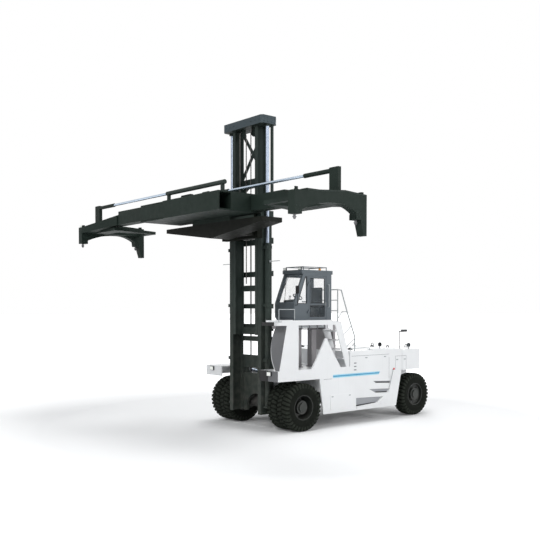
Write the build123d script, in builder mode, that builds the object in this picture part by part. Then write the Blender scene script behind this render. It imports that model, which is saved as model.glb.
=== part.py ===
from build123d import *
import math
import os

os.makedirs("parts", exist_ok=True)

# A heavy-duty forklift that carries containers by a telescoping spreader.
# Millimetres, +X forward, +Y to the left, +Z up, ground at Z = 0.
# X stations are measured from the front axle, which stands at AX in the part's frame.

# Where the wheels and the spreader's corners stand, and what lies beyond them
WHEELBASE = 6017
REAR_OVERHANG = 1133
SPREAD_X = 2807
CORNER_X = 1129.5
END_LIP = 103.5
REACH_FRONT = SPREAD_X + CORNER_X + END_LIP
REACH_REAR = WHEELBASE + REAR_OVERHANG
AX = (REACH_REAR - REACH_FRONT) / 2
FIT = 0.3
RUN = 10

# Wheels: twins in front, single steered wheels behind
TYRE_R = 807
TYRE_W = 500
TYRE_ROUND = 70
RIM_R = 420
RIM_T = 22
LUGS = 20
LUG_H = 45
LUG_GAP = 60
HAND_HOLES = 8
CAP_R = 150
TWIN_OUTER_Y = 2098
TWIN_PITCH = 530
REAR_OUTER_Y = 1870
HUB_R = 230
SPINDLE_R = 110
DISC_T = 40
KINGPIN_Y = 1330
KINGPIN_R = 60
KNUCKLE_H = 360
YOKE_T = 70
STEER_DEPTH = 260

# Chassis and body
RAIL_Y = 420
RAIL_W = 160
RAIL_LOW = 660
RAIL_HIGH = 1260
RAIL_DROP_X = -WHEELBASE + 717
AXLE_PAD_X = 150
AXLE_PAD_Z = 1010
SIDE_Y = 2000
PANEL_T = 60
BODY_LOW = 490
ARCH_FRONT_X = -800
ARCH_LOW_X = -970
BODY_REAR_LOW_X = -WHEELBASE + 1287
BODY_REAR_X = -WHEELBASE + 977
ARCH_Z = 1710
DECK_Z = 2060
FENDER_FRONT_X = 1070
FENDER_IN_Y = 1070
HOOD_Z = 2600
HOOD_FRONT_X = -2250
SHELL_T = 40
COUNTER_LOW = 1800
LAMP_T = 20
LOUVRES = 7
LOUVRE_STEP = 170
LOUVRE_W = 60
LID_X = (BODY_REAR_X + 890, BODY_REAR_X + 1540)
POLE_X = BODY_REAR_X - 460
LID_H = 30
COUNTER_TAPER_X = 1050
COUNTER_TAPER_Y = 950
COUNTER_ROUND = 160
POCKET = 42
COUNTER_KEEL_Y = 480
COUNTER_KEEL_X = -WHEELBASE - 583
KEEL_LOW = 760
GRILLE_SLOTS = 7
GRILLE_STEP = 80
TOW_PIN_R = 30
AXLE_TUBE_R = 190
DIFF_R = 280
ENGINE_X = (BODY_REAR_X + 740, HOOD_FRONT_X - 250)
ENGINE_W = 900
ENGINE_H = 950

# Mast, about its pivot on the axle tube
PIVOT_Z = TYRE_R
MAST_LOW = 510
OUTER_TOP = 7400
OUTER_WEB_Y = 870
OUTER_IN_Y = 690
OUTER_BACK_X = 380
OUTER_FRONT_X = 850
MAST_T = 45
INNER_OUT_Y = 680
INNER_IN_Y = 540
INNER_BACK_X = 470
INNER_LOW = 3200
CROWN_TOP = 10520
CROWN_H = 270
CROWN_LOW = CROWN_TOP - CROWN_H
CROWN_Y = 1072
CROWN_DEPTH = 670
CROWN_X = 643
CYL_X = 650
CYL_Y = 965
BARREL_R = 90
LIFT_ROD_R = 62
GLAND = 4
TILT_GLAND = 12
BARREL_LOW = 800
BARREL_TOP = 6300
LIFT_ROD_LOW = 3650
HANGER_R = 290
BRACE_Z = (CROWN_LOW - 1650, CROWN_LOW - 10)
GUIDE_LOW = 7620
SHEAVE_X = 690
COLLAR_Z = (2300, 4150, 6100)
FOOT_ARCH_Y = 480
FOOT_ARCH_H = 620
SHEAVE_Z = CROWN_LOW - 180
SHEAVE_R = 120
CHAIN_Y = 300
CHAIN_T = 32
CHAIN_BACK_LOW = 4950
TILT_PIN_X = 200
TILT_PIN_Z = 1950
TILT_BASE_X = -1500
TILT_BASE_Z = 1500
TILT_Y = 620
TILT_PIN_R = 45
TILT_BARREL_R = 95
TILT_ROD_R = 50

# Carriage and spreader
CARRIAGE_LOW = 6450
CARRIAGE_H = 1250
CARRIAGE_TOP = CARRIAGE_LOW + CARRIAGE_H
CHAIN_FRONT_LOW = CARRIAGE_TOP - 280
CARRIAGE_X = 880
CARRIAGE_FRONT_X = 1100
CARRIAGE_Y = 980
CORNER_Y = 5992.5
STROKE = 3066
LOCK_SEAT = CARRIAGE_LOW + 90
LOCK_R = 35
LOCK_DROP = 140
END_T = 250
END_BACK_LIP = 317.5
END_BACK_X = SPREAD_X - CORNER_X - END_BACK_LIP
FRAME_BASE = CARRIAGE_LOW + 600
FRAME_T = 40
ARM_LOW = FRAME_BASE + FRAME_T + RUN
ARM_H = 470
ARM_TOP = ARM_LOW + ARM_H
FRAME_TOP = ARM_TOP + RUN + FRAME_T
END_TOP = ARM_LOW + 200
END_ARCH_Z = LOCK_SEAT + 380
FLAP_LOW = LOCK_SEAT - 430
FRAME_Y = 2300
COVER_Y = 800
ARM_W = 400
REEL_R = 130
ARM_PITCH = 1190
ARM_WALL = 25
ARM_ROOT_Y = 350
NECK_Y = 3850
NECK_DROP = 110
NECK_END_Z = ARM_LOW + 150
FLARE_Y = 3900
FLARE_T = 38
UNDER_TOP = FRAME_BASE - 15
UNDER_LOW = UNDER_TOP - 105
UNDER_Y = 4150
UNDER_INSET = 230
PAD_Y = 5420
BELLY_X = (1500, 2300)
BELLY_Y = 2700
BELLY_MID_Z = UNDER_LOW - 510
BELLY_TIP_Z = UNDER_LOW - 150
HANG_Y = (600, 800)
EXT_Z = FRAME_TOP + 270
EXT_BARREL_R = 70
EXT_ROD_R = 45
EXT_ROD_IN = 830
EXT_MOUTH = 900
SLEEVE_Y = 4500
POST_Y = (5560, 5900)

# Cab and its tower
CAB_IN_Y = 200
CAB_OUT_Y = 1220
CAB_BACK_X = -2110
CAB_TOP_X = -750
CAB_NOSE_X = -330
PLATFORM_TOP = 3650
CAB_FLOOR = PLATFORM_TOP + 50
CAB_SILL = PLATFORM_TOP + 630
CAB_HEAD = 1160
CAB_ROOF = CAB_SILL + CAB_HEAD
CAB_T = 60
ROOF_T = 130
ROOF_OVER = 80
EAVE = 15
DOOR_HINGE_X = -1000
DOOR_FREE_X = -1850
DOOR_T = 40
DOOR_EDGE = 70
HINGE_PIN_R = 10
GUARD_H = 110
GUARD_R = 16
HINGE_OUT = 20
HINGE_Z = (CAB_FLOOR + 300, CAB_ROOF - 490)
PLATFORM_T = 110
PLATFORM_LOW = PLATFORM_TOP - PLATFORM_T
PLATFORM_ROUND = 180
LEG_IN_Y = 1350
BEAM_H = 120
TOE_T = 15
STAIR_STEPS = 5
STAIR_LEAD = 120
STRINGER_W = 290
PLATFORM_FRONT_X = 1080
PLATFORM_BACK_X = -2450
PLATFORM_IN_Y = 120
WALK_BACK_X = -1420
WING_IN_Y = 1180
NOSE_STEP_X = -180
LADDER_FOOT_X = HOOD_FRONT_X + 15
RAIL_R = 20
KNEE = 1.5
THIN = 0.7

SIDE = Plane((AX, 0, 0), x_dir=(1, 0, 0), z_dir=(0, -1, 0))
PLAN = Plane((AX, 0, 0))
CROSS = Plane((AX, 0, 0), x_dir=(0, 1, 0), z_dir=(1, 0, 0))


def block(x, y, z):
    """A box between two limits on each axis, X measured from the front axle."""
    with Locations((AX + (x[0] + x[1]) / 2, (y[0] + y[1]) / 2, (z[0] + z[1]) / 2)):
        Box(abs(x[1] - x[0]), abs(y[1] - y[0]), abs(z[1] - z[0]))


def hollow(x, y, z):
    """The same box taken away."""
    with Locations((AX + (x[0] + x[1]) / 2, (y[0] + y[1]) / 2, (z[0] + z[1]) / 2)):
        Box(abs(x[1] - x[0]), abs(y[1] - y[0]), abs(z[1] - z[0]), mode=Mode.SUBTRACT)


def plate(plane, points, depth, mode=Mode.ADD):
    """An outline drawn on a plane and extruded along its normal."""
    with BuildSketch(plane) as outline:
        with BuildLine():
            Polyline(*points, close=True)
        make_face()
    extrude(outline.sketch, amount=depth, mode=mode)


def side_plate(points, y_low, y_high, mode=Mode.ADD):
    """An outline in X and Z that fills the space between two distances to the side."""
    plate(SIDE.offset(-y_high), points, y_high - y_low, mode)


def plan_plate(points, z_low, z_high, mode=Mode.ADD):
    """An outline in X and Y between two heights."""
    plate(PLAN.offset(z_low), points, z_high - z_low, mode)


def cross_plate(points, x_low, x_high, mode=Mode.ADD):
    """An outline in Y and Z between two stations."""
    plate(CROSS.offset(x_low), points, x_high - x_low, mode)


def rod(start, end, radius, mode=Mode.ADD):
    """A round bar between two points, X measured from the front axle."""
    a = Vector(AX + start[0], start[1], start[2])
    b = Vector(AX + end[0], end[1], end[2])
    with BuildSketch(Plane(a, z_dir=(b - a).normalized())) as section:
        Circle(radius)
    extrude(section.sketch, amount=(b - a).length, mode=mode)


def rail(points, radius):
    """A bent tube along straight runs, with a round knee at each bend."""
    for a, b in zip(points, points[1:]):
        rod(a, b, radius)
    for x, y, z in points[1:-1]:
        with Locations((AX + x, y, z)):
            Sphere(radius + KNEE)


def across(y, s):
    """Two distances to one side, low before high."""
    return tuple(sorted((s * y[0], s * y[1])))


def save(part, name):
    """Name a finished piece and write it."""
    part.label = name
    export_step(part, f"parts/{name}.step")


def ring(x, z, y_low, y_high, outer, inner=0):
    """A round piece about an axis along Y."""
    rod((x, y_low, z), (x, y_high, z), outer)
    if inner:
        rod((x, y_low, z), (x, y_high, z), inner, mode=Mode.SUBTRACT)


def tyre(x, s, y_out):
    """One tyre with a row of lugs on each shoulder, its outer face at y_out."""
    y_in = y_out - TYRE_W
    floor = TYRE_R - LUG_H
    with BuildSketch(Plane((AX + x, 0, TYRE_R), x_dir=(0, s, 0), z_dir=(-s, 0, 0))) as half:
        with BuildLine():
            Polyline(
                (y_in + TYRE_ROUND, floor), (y_out - TYRE_ROUND, floor),
                (y_out, floor - TYRE_ROUND), (y_out - 50, RIM_R),
                (y_in + 50, RIM_R), (y_in, floor - TYRE_ROUND), close=True,
            )
        make_face()
    revolve(half.sketch, Axis((AX + x, 0, TYRE_R), (0, 1, 0)))
    middle = (y_in + y_out) / 2
    for y_low, y_high, turn in ((y_in + 5, middle - LUG_GAP / 2, 0), (middle + LUG_GAP / 2, y_out - 5, 0.5)):
        a, b = across((y_low, y_high), s)
        with BuildSketch(SIDE.offset(-b)) as lugs:
            for i in range(LUGS):
                with BuildLine():
                    Polyline(*lug_form(x, 360 * (i + turn) / LUGS), close=True)
                make_face()
        extrude(lugs.sketch, amount=b - a)


def lug_form(x, angle):
    """The outline of one lug that stands at an angle from the wheel's lowest point."""
    out = Vector(math.sin(math.radians(angle)), -math.cos(math.radians(angle)))
    side = Vector(-out.Y, out.X)
    points = []
    for depth, half in ((TYRE_ROUND + LUG_H + 30, 66), (0, 46), (0, -46), (TYRE_ROUND + LUG_H + 30, -66)):
        place = out * (TYRE_R - depth) + side * half
        points.append((x + place.X, TYRE_R + place.Y))
    return points


def rim(x, s, y_in, y_out, disc_y, hub_in, hub_out):
    """A rim barrel with flanges, its dished disc with hand holes, and its hub with a cap."""
    a, b = across((y_in + 20, y_out - 20), s)
    ring(x, TYRE_R, a, b, RIM_R - FIT, RIM_R - RIM_T)
    a, b = across((hub_in, hub_out), s)
    ring(x, TYRE_R, a, b, HUB_R)
    a, b = across((hub_out, hub_out + 45), s)
    ring(x, TYRE_R, a, b, CAP_R)
    with BuildSketch(Plane((AX + x, 0, TYRE_R), x_dir=(0, s, 0), z_dir=(-s, 0, 0))) as half:
        with BuildLine():
            Polyline((disc_y, HUB_R - 5), (disc_y + DISC_T, HUB_R - 5),
                     (disc_y + DISC_T + 50, RIM_R - RIM_T + 4),
                     (disc_y + 50, RIM_R - RIM_T + 4), close=True)
        make_face()
    revolve(half.sketch, Axis((AX + x, 0, TYRE_R), (0, 1, 0)))
    a, b = across((disc_y - 10, disc_y + DISC_T + 70), s)
    with BuildSketch(SIDE.offset(-b)) as holes:
        with Locations((x, TYRE_R)):
            with PolarLocations((HUB_R + RIM_R) / 2 - 5, HAND_HOLES):
                Circle(34)
    extrude(holes.sketch, amount=b - a, mode=Mode.SUBTRACT)


# Chassis: box rails, the drive axle and the steered axle's beam
with BuildPart() as chassis_frame:
    for s in (1, -1):
        y = across((RAIL_Y - RAIL_W / 2, RAIL_Y + RAIL_W / 2), s)
        block((COUNTER_KEEL_X - 50, AXLE_PAD_X), y, (AXLE_PAD_Z, RAIL_HIGH))
        block((RAIL_DROP_X, -AXLE_TUBE_R - 130), y, (RAIL_LOW, RAIL_HIGH))
    for x in (-700, -2300, BODY_REAR_X + 740, BODY_REAR_X - 160, COUNTER_KEEL_X + 100):
        block((x - 60, x + 60), (-RAIL_Y, RAIL_Y), (AXLE_PAD_Z, RAIL_HIGH - 60))
    for s in (1, -1):
        for x in (-1100, -2700, BODY_REAR_X + 540):
            block((x - 60, x + 60), across((RAIL_Y, SIDE_Y - PANEL_T), s), (RAIL_HIGH - 200, RAIL_HIGH))
        # Ears of the tilt cylinder's foot pin
        for y in (TILT_Y - 90, TILT_Y + 60):
            side_plate([(TILT_BASE_X - 160, RAIL_HIGH - 150), (TILT_BASE_X + 160, RAIL_HIGH - 150),
                        (TILT_BASE_X + 80, TILT_BASE_Z + 80), (TILT_BASE_X - 80, TILT_BASE_Z + 80)],
                       *across((y, y + 30), s))
        block((TILT_BASE_X - 160, TILT_BASE_X + 160), across((RAIL_Y, TILT_Y + 90), s),
              (RAIL_HIGH - 160, RAIL_HIGH))
        ring(TILT_BASE_X, TILT_BASE_Z, *across((TILT_Y - 90, TILT_Y + 90), s), TILT_PIN_R)
save(chassis_frame.part, "chassis_frame")

with BuildPart() as drive_axle:
    ring(0, TYRE_R, -TWIN_OUTER_Y + TYRE_W + 560, TWIN_OUTER_Y - TYRE_W - 560, AXLE_TUBE_R)
    ring(0, TYRE_R, -1760, 1760, SPINDLE_R)
    with Locations((AX, 0, TYRE_R)):
        Sphere(DIFF_R)
    for s in (1, -1):
        block((-AXLE_PAD_X, AXLE_PAD_X), across((RAIL_Y - RAIL_W / 2, RAIL_Y + RAIL_W / 2), s),
              (TYRE_R, AXLE_PAD_Z))
    with BuildSketch(Plane((AX - 200, 0, TYRE_R), z_dir=(-1, 0, 0))) as nose:
        Circle(220)
    extrude(nose.sketch, amount=360, taper=12)
save(drive_axle.part, "drive_axle")

with BuildPart() as steer_axle:
    block((-WHEELBASE - STEER_DEPTH / 2, -WHEELBASE + STEER_DEPTH / 2), (-KINGPIN_Y + 170, KINGPIN_Y - 170),
          (TYRE_R - 170, TYRE_R + 170))
    for s in (1, -1):
        block((-WHEELBASE - 90, -WHEELBASE + 90), across((RAIL_Y - RAIL_W / 2, RAIL_Y + RAIL_W / 2), s),
              (TYRE_R, AXLE_PAD_Z))
    for s in (1, -1):
        for low in (TYRE_R - KNUCKLE_H / 2 - YOKE_T, TYRE_R + KNUCKLE_H / 2):
            block((-WHEELBASE - 110, -WHEELBASE + 110), across((KINGPIN_Y - 300, KINGPIN_Y), s),
                  (low, low + YOKE_T))
            with BuildSketch(Plane((AX - WHEELBASE, s * KINGPIN_Y, low))) as eye:
                Circle(110)
            extrude(eye.sketch, amount=YOKE_T)
        block((-WHEELBASE - 110, -WHEELBASE + 110), across((KINGPIN_Y - 300, KINGPIN_Y - 170), s),
              (TYRE_R - KNUCKLE_H / 2 - YOKE_T, TYRE_R + KNUCKLE_H / 2 + YOKE_T))
        rod((-WHEELBASE, s * KINGPIN_Y, TYRE_R - KNUCKLE_H / 2 - YOKE_T - 20),
            (-WHEELBASE, s * KINGPIN_Y, TYRE_R + KNUCKLE_H / 2 + YOKE_T + 20), KINGPIN_R)
save(steer_axle.part, "steer_axle")

with BuildPart() as engine_block:
    block(ENGINE_X, (-ENGINE_W / 2, ENGINE_W / 2), (RAIL_HIGH, RAIL_HIGH + ENGINE_H))
save(engine_block.part, "engine_block")

with BuildPart() as side_panels:
    for s in (1, -1):
        side_plate([(ARCH_FRONT_X, DECK_Z - SHELL_T), (ARCH_FRONT_X, ARCH_Z), (ARCH_LOW_X, BODY_LOW),
                    (BODY_REAR_LOW_X, BODY_LOW), (BODY_REAR_X, COUNTER_LOW + 30),
                    (BODY_REAR_X, HOOD_Z - SHELL_T),
                    (HOOD_FRONT_X, HOOD_Z - SHELL_T), (HOOD_FRONT_X, DECK_Z - SHELL_T)],
                   *across((SIDE_Y - PANEL_T, SIDE_Y), s))
        # Foot pockets pressed into the side, one over the other
        for pocket in (
            [(-2580, 620), (-2580, 930), (-4010, 880), (-3700, 690)],
            [(-3250, 1200), (-4390, 1150), (-4250, 1010), (-3600, 1040)],
            [(-3460, 1480), (-4440, 1430), (-4400, 1350), (-3600, 1400)],
        ):
            side_plate(pocket, *across((SIDE_Y - POCKET, SIDE_Y + 1), s), mode=Mode.SUBTRACT)
        # Raised access panel low behind the front wheel
        side_plate([(-1300, 600), (-1300, 1130), (-2350, 1130), (-2350, 600)],
                   *across((SIDE_Y, SIDE_Y + 12), s))
save(side_panels.part, "side_panels")

with BuildPart() as fenders:
    for s in (1, -1):
        block((ARCH_FRONT_X, FENDER_FRONT_X), across((FENDER_IN_Y, SIDE_Y), s), (DECK_Z - SHELL_T, DECK_Z))
        block((ARCH_FRONT_X, FENDER_FRONT_X), across((SIDE_Y - PANEL_T, SIDE_Y), s), (ARCH_Z, DECK_Z))
        block((FENDER_FRONT_X - SHELL_T, FENDER_FRONT_X), across((FENDER_IN_Y, SIDE_Y), s), (ARCH_Z, DECK_Z))
save(fenders.part, "fenders")

with BuildPart() as rear_deck:
    block((HOOD_FRONT_X, ARCH_FRONT_X), (-SIDE_Y, SIDE_Y), (DECK_Z - SHELL_T, DECK_Z))
    block((ARCH_FRONT_X, -450), (-FENDER_IN_Y, FENDER_IN_Y), (DECK_Z - SHELL_T, DECK_Z))
    for s in (1, -1):
        block((-900, -860), across((TILT_Y + 120, SIDE_Y - PANEL_T), s), (RAIL_HIGH, DECK_Z - SHELL_T))
save(rear_deck.part, "rear_deck")

with BuildPart() as hood:
    block((BODY_REAR_X, HOOD_FRONT_X), (-SIDE_Y, SIDE_Y), (HOOD_Z - SHELL_T, HOOD_Z))
    block((HOOD_FRONT_X - SHELL_T, HOOD_FRONT_X), (-SIDE_Y + PANEL_T, SIDE_Y - PANEL_T), (DECK_Z, HOOD_Z))
    # Louvres over the engine, air grilles at the edges, and the raised lids
    for i in range(LOUVRES):
        x = HOOD_FRONT_X - 420 - i * LOUVRE_STEP
        for s in (1, -1):
            hollow((x - LOUVRE_W, x), across((260, 1050), s), (HOOD_Z - SHELL_T - 1, HOOD_Z + 1))
    for s in (1, -1):
        block(LID_X, across((SIDE_Y - 330, SIDE_Y - 60), s), (HOOD_Z, HOOD_Z + LID_H))
        block((BODY_REAR_X + 60, LID_X[0] - 250), across((200, SIDE_Y - 260), s),
              (HOOD_Z, HOOD_Z + LID_H / 2))
save(hood.part, "hood")

with BuildPart() as counterweight:
    with BuildSketch(PLAN.offset(COUNTER_LOW)) as mass:
        with BuildLine():
            Polyline((BODY_REAR_X, -SIDE_Y), (BODY_REAR_X, SIDE_Y), (-REACH_REAR + COUNTER_TAPER_X, SIDE_Y),
                     (-REACH_REAR, SIDE_Y - COUNTER_TAPER_Y), (-REACH_REAR, -SIDE_Y + COUNTER_TAPER_Y),
                     (-REACH_REAR + COUNTER_TAPER_X, -SIDE_Y), close=True)
        make_face()
        fillet([v for v in mass.vertices() if v.X < AX + BODY_REAR_X - 10], COUNTER_ROUND)
    extrude(mass.sketch, amount=HOOD_Z - 40 - COUNTER_LOW)
    block((-REACH_REAR, COUNTER_KEEL_X), (-COUNTER_KEEL_Y, COUNTER_KEEL_Y), (KEEL_LOW, COUNTER_LOW))
    block((COUNTER_KEEL_X, BODY_REAR_X), (-COUNTER_KEEL_Y, COUNTER_KEEL_Y), (RAIL_HIGH, COUNTER_LOW))
    hollow((COUNTER_KEEL_X - 50, COUNTER_KEEL_X), (-RAIL_Y - 90, RAIL_Y + 90), (RAIL_LOW - 10, RAIL_HIGH))
    # Slots of the cooling grille in the rear face
    for i in range(GRILLE_SLOTS):
        z = COUNTER_LOW + 130 + i * GRILLE_STEP
        hollow((-REACH_REAR - 1, -REACH_REAR + 60), (-620, 620), (z, z + GRILLE_STEP / 2))
    # Seats of the tail lamps
    for s in (1, -1):
        hollow((-REACH_REAR - 1, -REACH_REAR + LAMP_T), across((700, 900), s),
               (COUNTER_LOW + 200, COUNTER_LOW + 560))
    # Tow jaw with its pin hole, and the recess over it
    for z_low, z_high in ((900, 1000), (1060, 1400)):
        hollow((-REACH_REAR - 1, -REACH_REAR + 200), (-130, 130), (z_low, z_high))
    rod((-REACH_REAR + 80, 0, KEEL_LOW - 1), (-REACH_REAR + 80, 0, 1061), TOW_PIN_R, mode=Mode.SUBTRACT)
save(counterweight.part, "counterweight")

# Tower that carries the raised cab
with BuildPart() as cab_tower:
    side_plate([(1010, DECK_Z), (690, PLATFORM_LOW), (170, PLATFORM_LOW), (170, DECK_Z)], LEG_IN_Y, SIDE_Y)
    # The leg's inner edge is bowed, widest a little above its middle
    with BuildSketch(CROSS.offset(100)) as bow:
        with BuildLine():
            Polyline((LEG_IN_Y + 130, PLATFORM_LOW + 1), (LEG_IN_Y - 50, PLATFORM_LOW + 1),
                     (LEG_IN_Y - 50, DECK_Z - 1),
                     (SIDE_Y - 200, DECK_Z - 1))
            ThreePointArc((SIDE_Y - 200, DECK_Z - 1), (LEG_IN_Y + 20, 2900),
                          (LEG_IN_Y + 130, PLATFORM_LOW + 1))
        make_face()
    extrude(bow.sketch, amount=1000, mode=Mode.SUBTRACT)
    # Gusset in front of the stairs, with a hollowed front edge
    with BuildSketch(SIDE.offset(-SIDE_Y)) as gusset:
        with BuildLine():
            ThreePointArc((-430, DECK_Z), (-720, 2500), (-1060, 3080))
            Polyline((-1060, 3080), (-1130, 3080), (-1330, 2750), (-1800, DECK_Z), (-430, DECK_Z))
        make_face()
    extrude(gusset.sketch, amount=PANEL_T)
    # Bracket under the back of the platform
    side_plate([(-1180, PLATFORM_LOW), (-1180, PLATFORM_LOW - 110), (WALK_BACK_X + 5, PLATFORM_LOW - 190),
                (WALK_BACK_X + 5, PLATFORM_LOW)], SIDE_Y - PANEL_T, SIDE_Y)
save(cab_tower.part, "cab_tower")

with BuildPart() as tower_columns:
    for x in (-620, -1320):
        for y in (PLATFORM_IN_Y + 130, WING_IN_Y - 130):
            block((x - 110, x + 110), (y - 110, y + 110), (DECK_Z, PLATFORM_LOW))
            block((x - 150, x + 150), (y - 150, y + 150), (DECK_Z, DECK_Z + 30))
        block((x - 60, x + 60), (PLATFORM_IN_Y + 130, WING_IN_Y - 130),
              (PLATFORM_LOW - BEAM_H, PLATFORM_LOW))
    for y in (PLATFORM_IN_Y + 130, WING_IN_Y - 130):
        block((-2250, -250), (y - 50, y + 50), (PLATFORM_LOW - BEAM_H, PLATFORM_LOW))
    block((-2360, -2250), (PLATFORM_IN_Y + 20, WING_IN_Y), (HOOD_Z, PLATFORM_LOW))
    block((220, 640), (WING_IN_Y + 20, LEG_IN_Y + 60), (PLATFORM_LOW - BEAM_H, PLATFORM_LOW))
save(tower_columns.part, "tower_columns")

with BuildPart() as platform:
    with BuildSketch(PLAN.offset(PLATFORM_LOW)) as floor_form:
        with BuildLine():
            Polyline((PLATFORM_BACK_X, PLATFORM_IN_Y), (NOSE_STEP_X, PLATFORM_IN_Y),
                     (NOSE_STEP_X, WING_IN_Y),
                     (PLATFORM_FRONT_X, WING_IN_Y), (PLATFORM_FRONT_X, SIDE_Y), (WALK_BACK_X, SIDE_Y),
                     (WALK_BACK_X, WING_IN_Y + 80), (PLATFORM_BACK_X, WING_IN_Y + 80), close=True)
        make_face()
        front = [v for v in floor_form.vertices() if v.X > AX + PLATFORM_FRONT_X - 10]
        fillet(front, PLATFORM_ROUND)
    extrude(floor_form.sketch, amount=PLATFORM_T)
    # Toe boards along the outer and the inner edge
    block((WALK_BACK_X, PLATFORM_FRONT_X - PLATFORM_ROUND), (SIDE_Y - TOE_T, SIDE_Y),
          (PLATFORM_TOP, PLATFORM_TOP + 60))
    block((CAB_NOSE_X + 40, PLATFORM_FRONT_X - PLATFORM_ROUND), (WING_IN_Y, WING_IN_Y + TOE_T),
          (PLATFORM_TOP, PLATFORM_TOP + 60))
save(platform.part, "platform")

with BuildPart() as ladder:
    top_x = WALK_BACK_X - STAIR_LEAD
    for y in (WING_IN_Y + 120, SIDE_Y - PANEL_T + 10):
        side_plate([(LADDER_FOOT_X, DECK_Z), (LADDER_FOOT_X + 140, DECK_Z), (top_x, PLATFORM_LOW),
                    (WALK_BACK_X, PLATFORM_LOW), (WALK_BACK_X, PLATFORM_TOP),
                    (top_x - STRINGER_W, PLATFORM_TOP),
                    (top_x - STRINGER_W - 40, PLATFORM_LOW), (LADDER_FOOT_X, DECK_Z + 370)], y, y + 40)
    for i in range(1, STAIR_STEPS):
        x = LADDER_FOOT_X + 140 + (top_x - LADDER_FOOT_X - 140) * i / STAIR_STEPS
        z = DECK_Z + (PLATFORM_TOP - DECK_Z) * i / STAIR_STEPS
        block((x - 210, x + 50), (WING_IN_Y + 120, SIDE_Y - PANEL_T + 20), (z - 35, z))
save(ladder.part, "ladder")

RAIL_TOP = PLATFORM_TOP + 1130
with BuildPart() as handrails:
    cage_x = PLATFORM_BACK_X + 30
    cage_y = (PLATFORM_IN_Y + 30, WING_IN_Y + 50)
    rail([(cage_x, cage_y[0], PLATFORM_TOP), (cage_x, cage_y[0], RAIL_TOP), (cage_x, cage_y[1], RAIL_TOP),
          (cage_x, cage_y[1], PLATFORM_TOP)], RAIL_R)
    for z in (RAIL_TOP - 380, RAIL_TOP - 760):
        rod((cage_x, cage_y[0], z), (cage_x, cage_y[1], z), THIN * RAIL_R)
    rod((cage_x, sum(cage_y) / 2, PLATFORM_TOP), (cage_x, sum(cage_y) / 2, RAIL_TOP), THIN * RAIL_R)
    rail([(cage_x, WING_IN_Y + 50, RAIL_TOP), (-1850, SIDE_Y - 30, RAIL_TOP - 40),
          (-2140, SIDE_Y - 30, 3990), (-2530, SIDE_Y - 30, 3110), (-2530, SIDE_Y - 30, HOOD_Z)], RAIL_R)
    # Inner stair rail and the rungs between the two
    rail([(-1650, SIDE_Y - 30, PLATFORM_TOP), (-1650, SIDE_Y - 30, PLATFORM_TOP + 60),
          (-1900, SIDE_Y - 30, 3990), (-2140, SIDE_Y - 30, 3990)], THIN * RAIL_R)
    for x, z, reach, rise in ((-2002, 3200, 350, 290), (-2142, 2780, 385, 255)):
        rail([(x, SIDE_Y - 30, z), (x - reach, SIDE_Y - 30, z + rise)], THIN * RAIL_R)
    # Rail in front of the cab, along the platform's outer edge
    rail([(980, SIDE_Y - 60, PLATFORM_TOP), (980, SIDE_Y - 60, PLATFORM_TOP + 420),
          (300, SIDE_Y - 60, PLATFORM_TOP + 420),
          (300, SIDE_Y - 60, PLATFORM_TOP)], THIN * RAIL_R)
save(handrails.part, "handrails")

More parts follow.
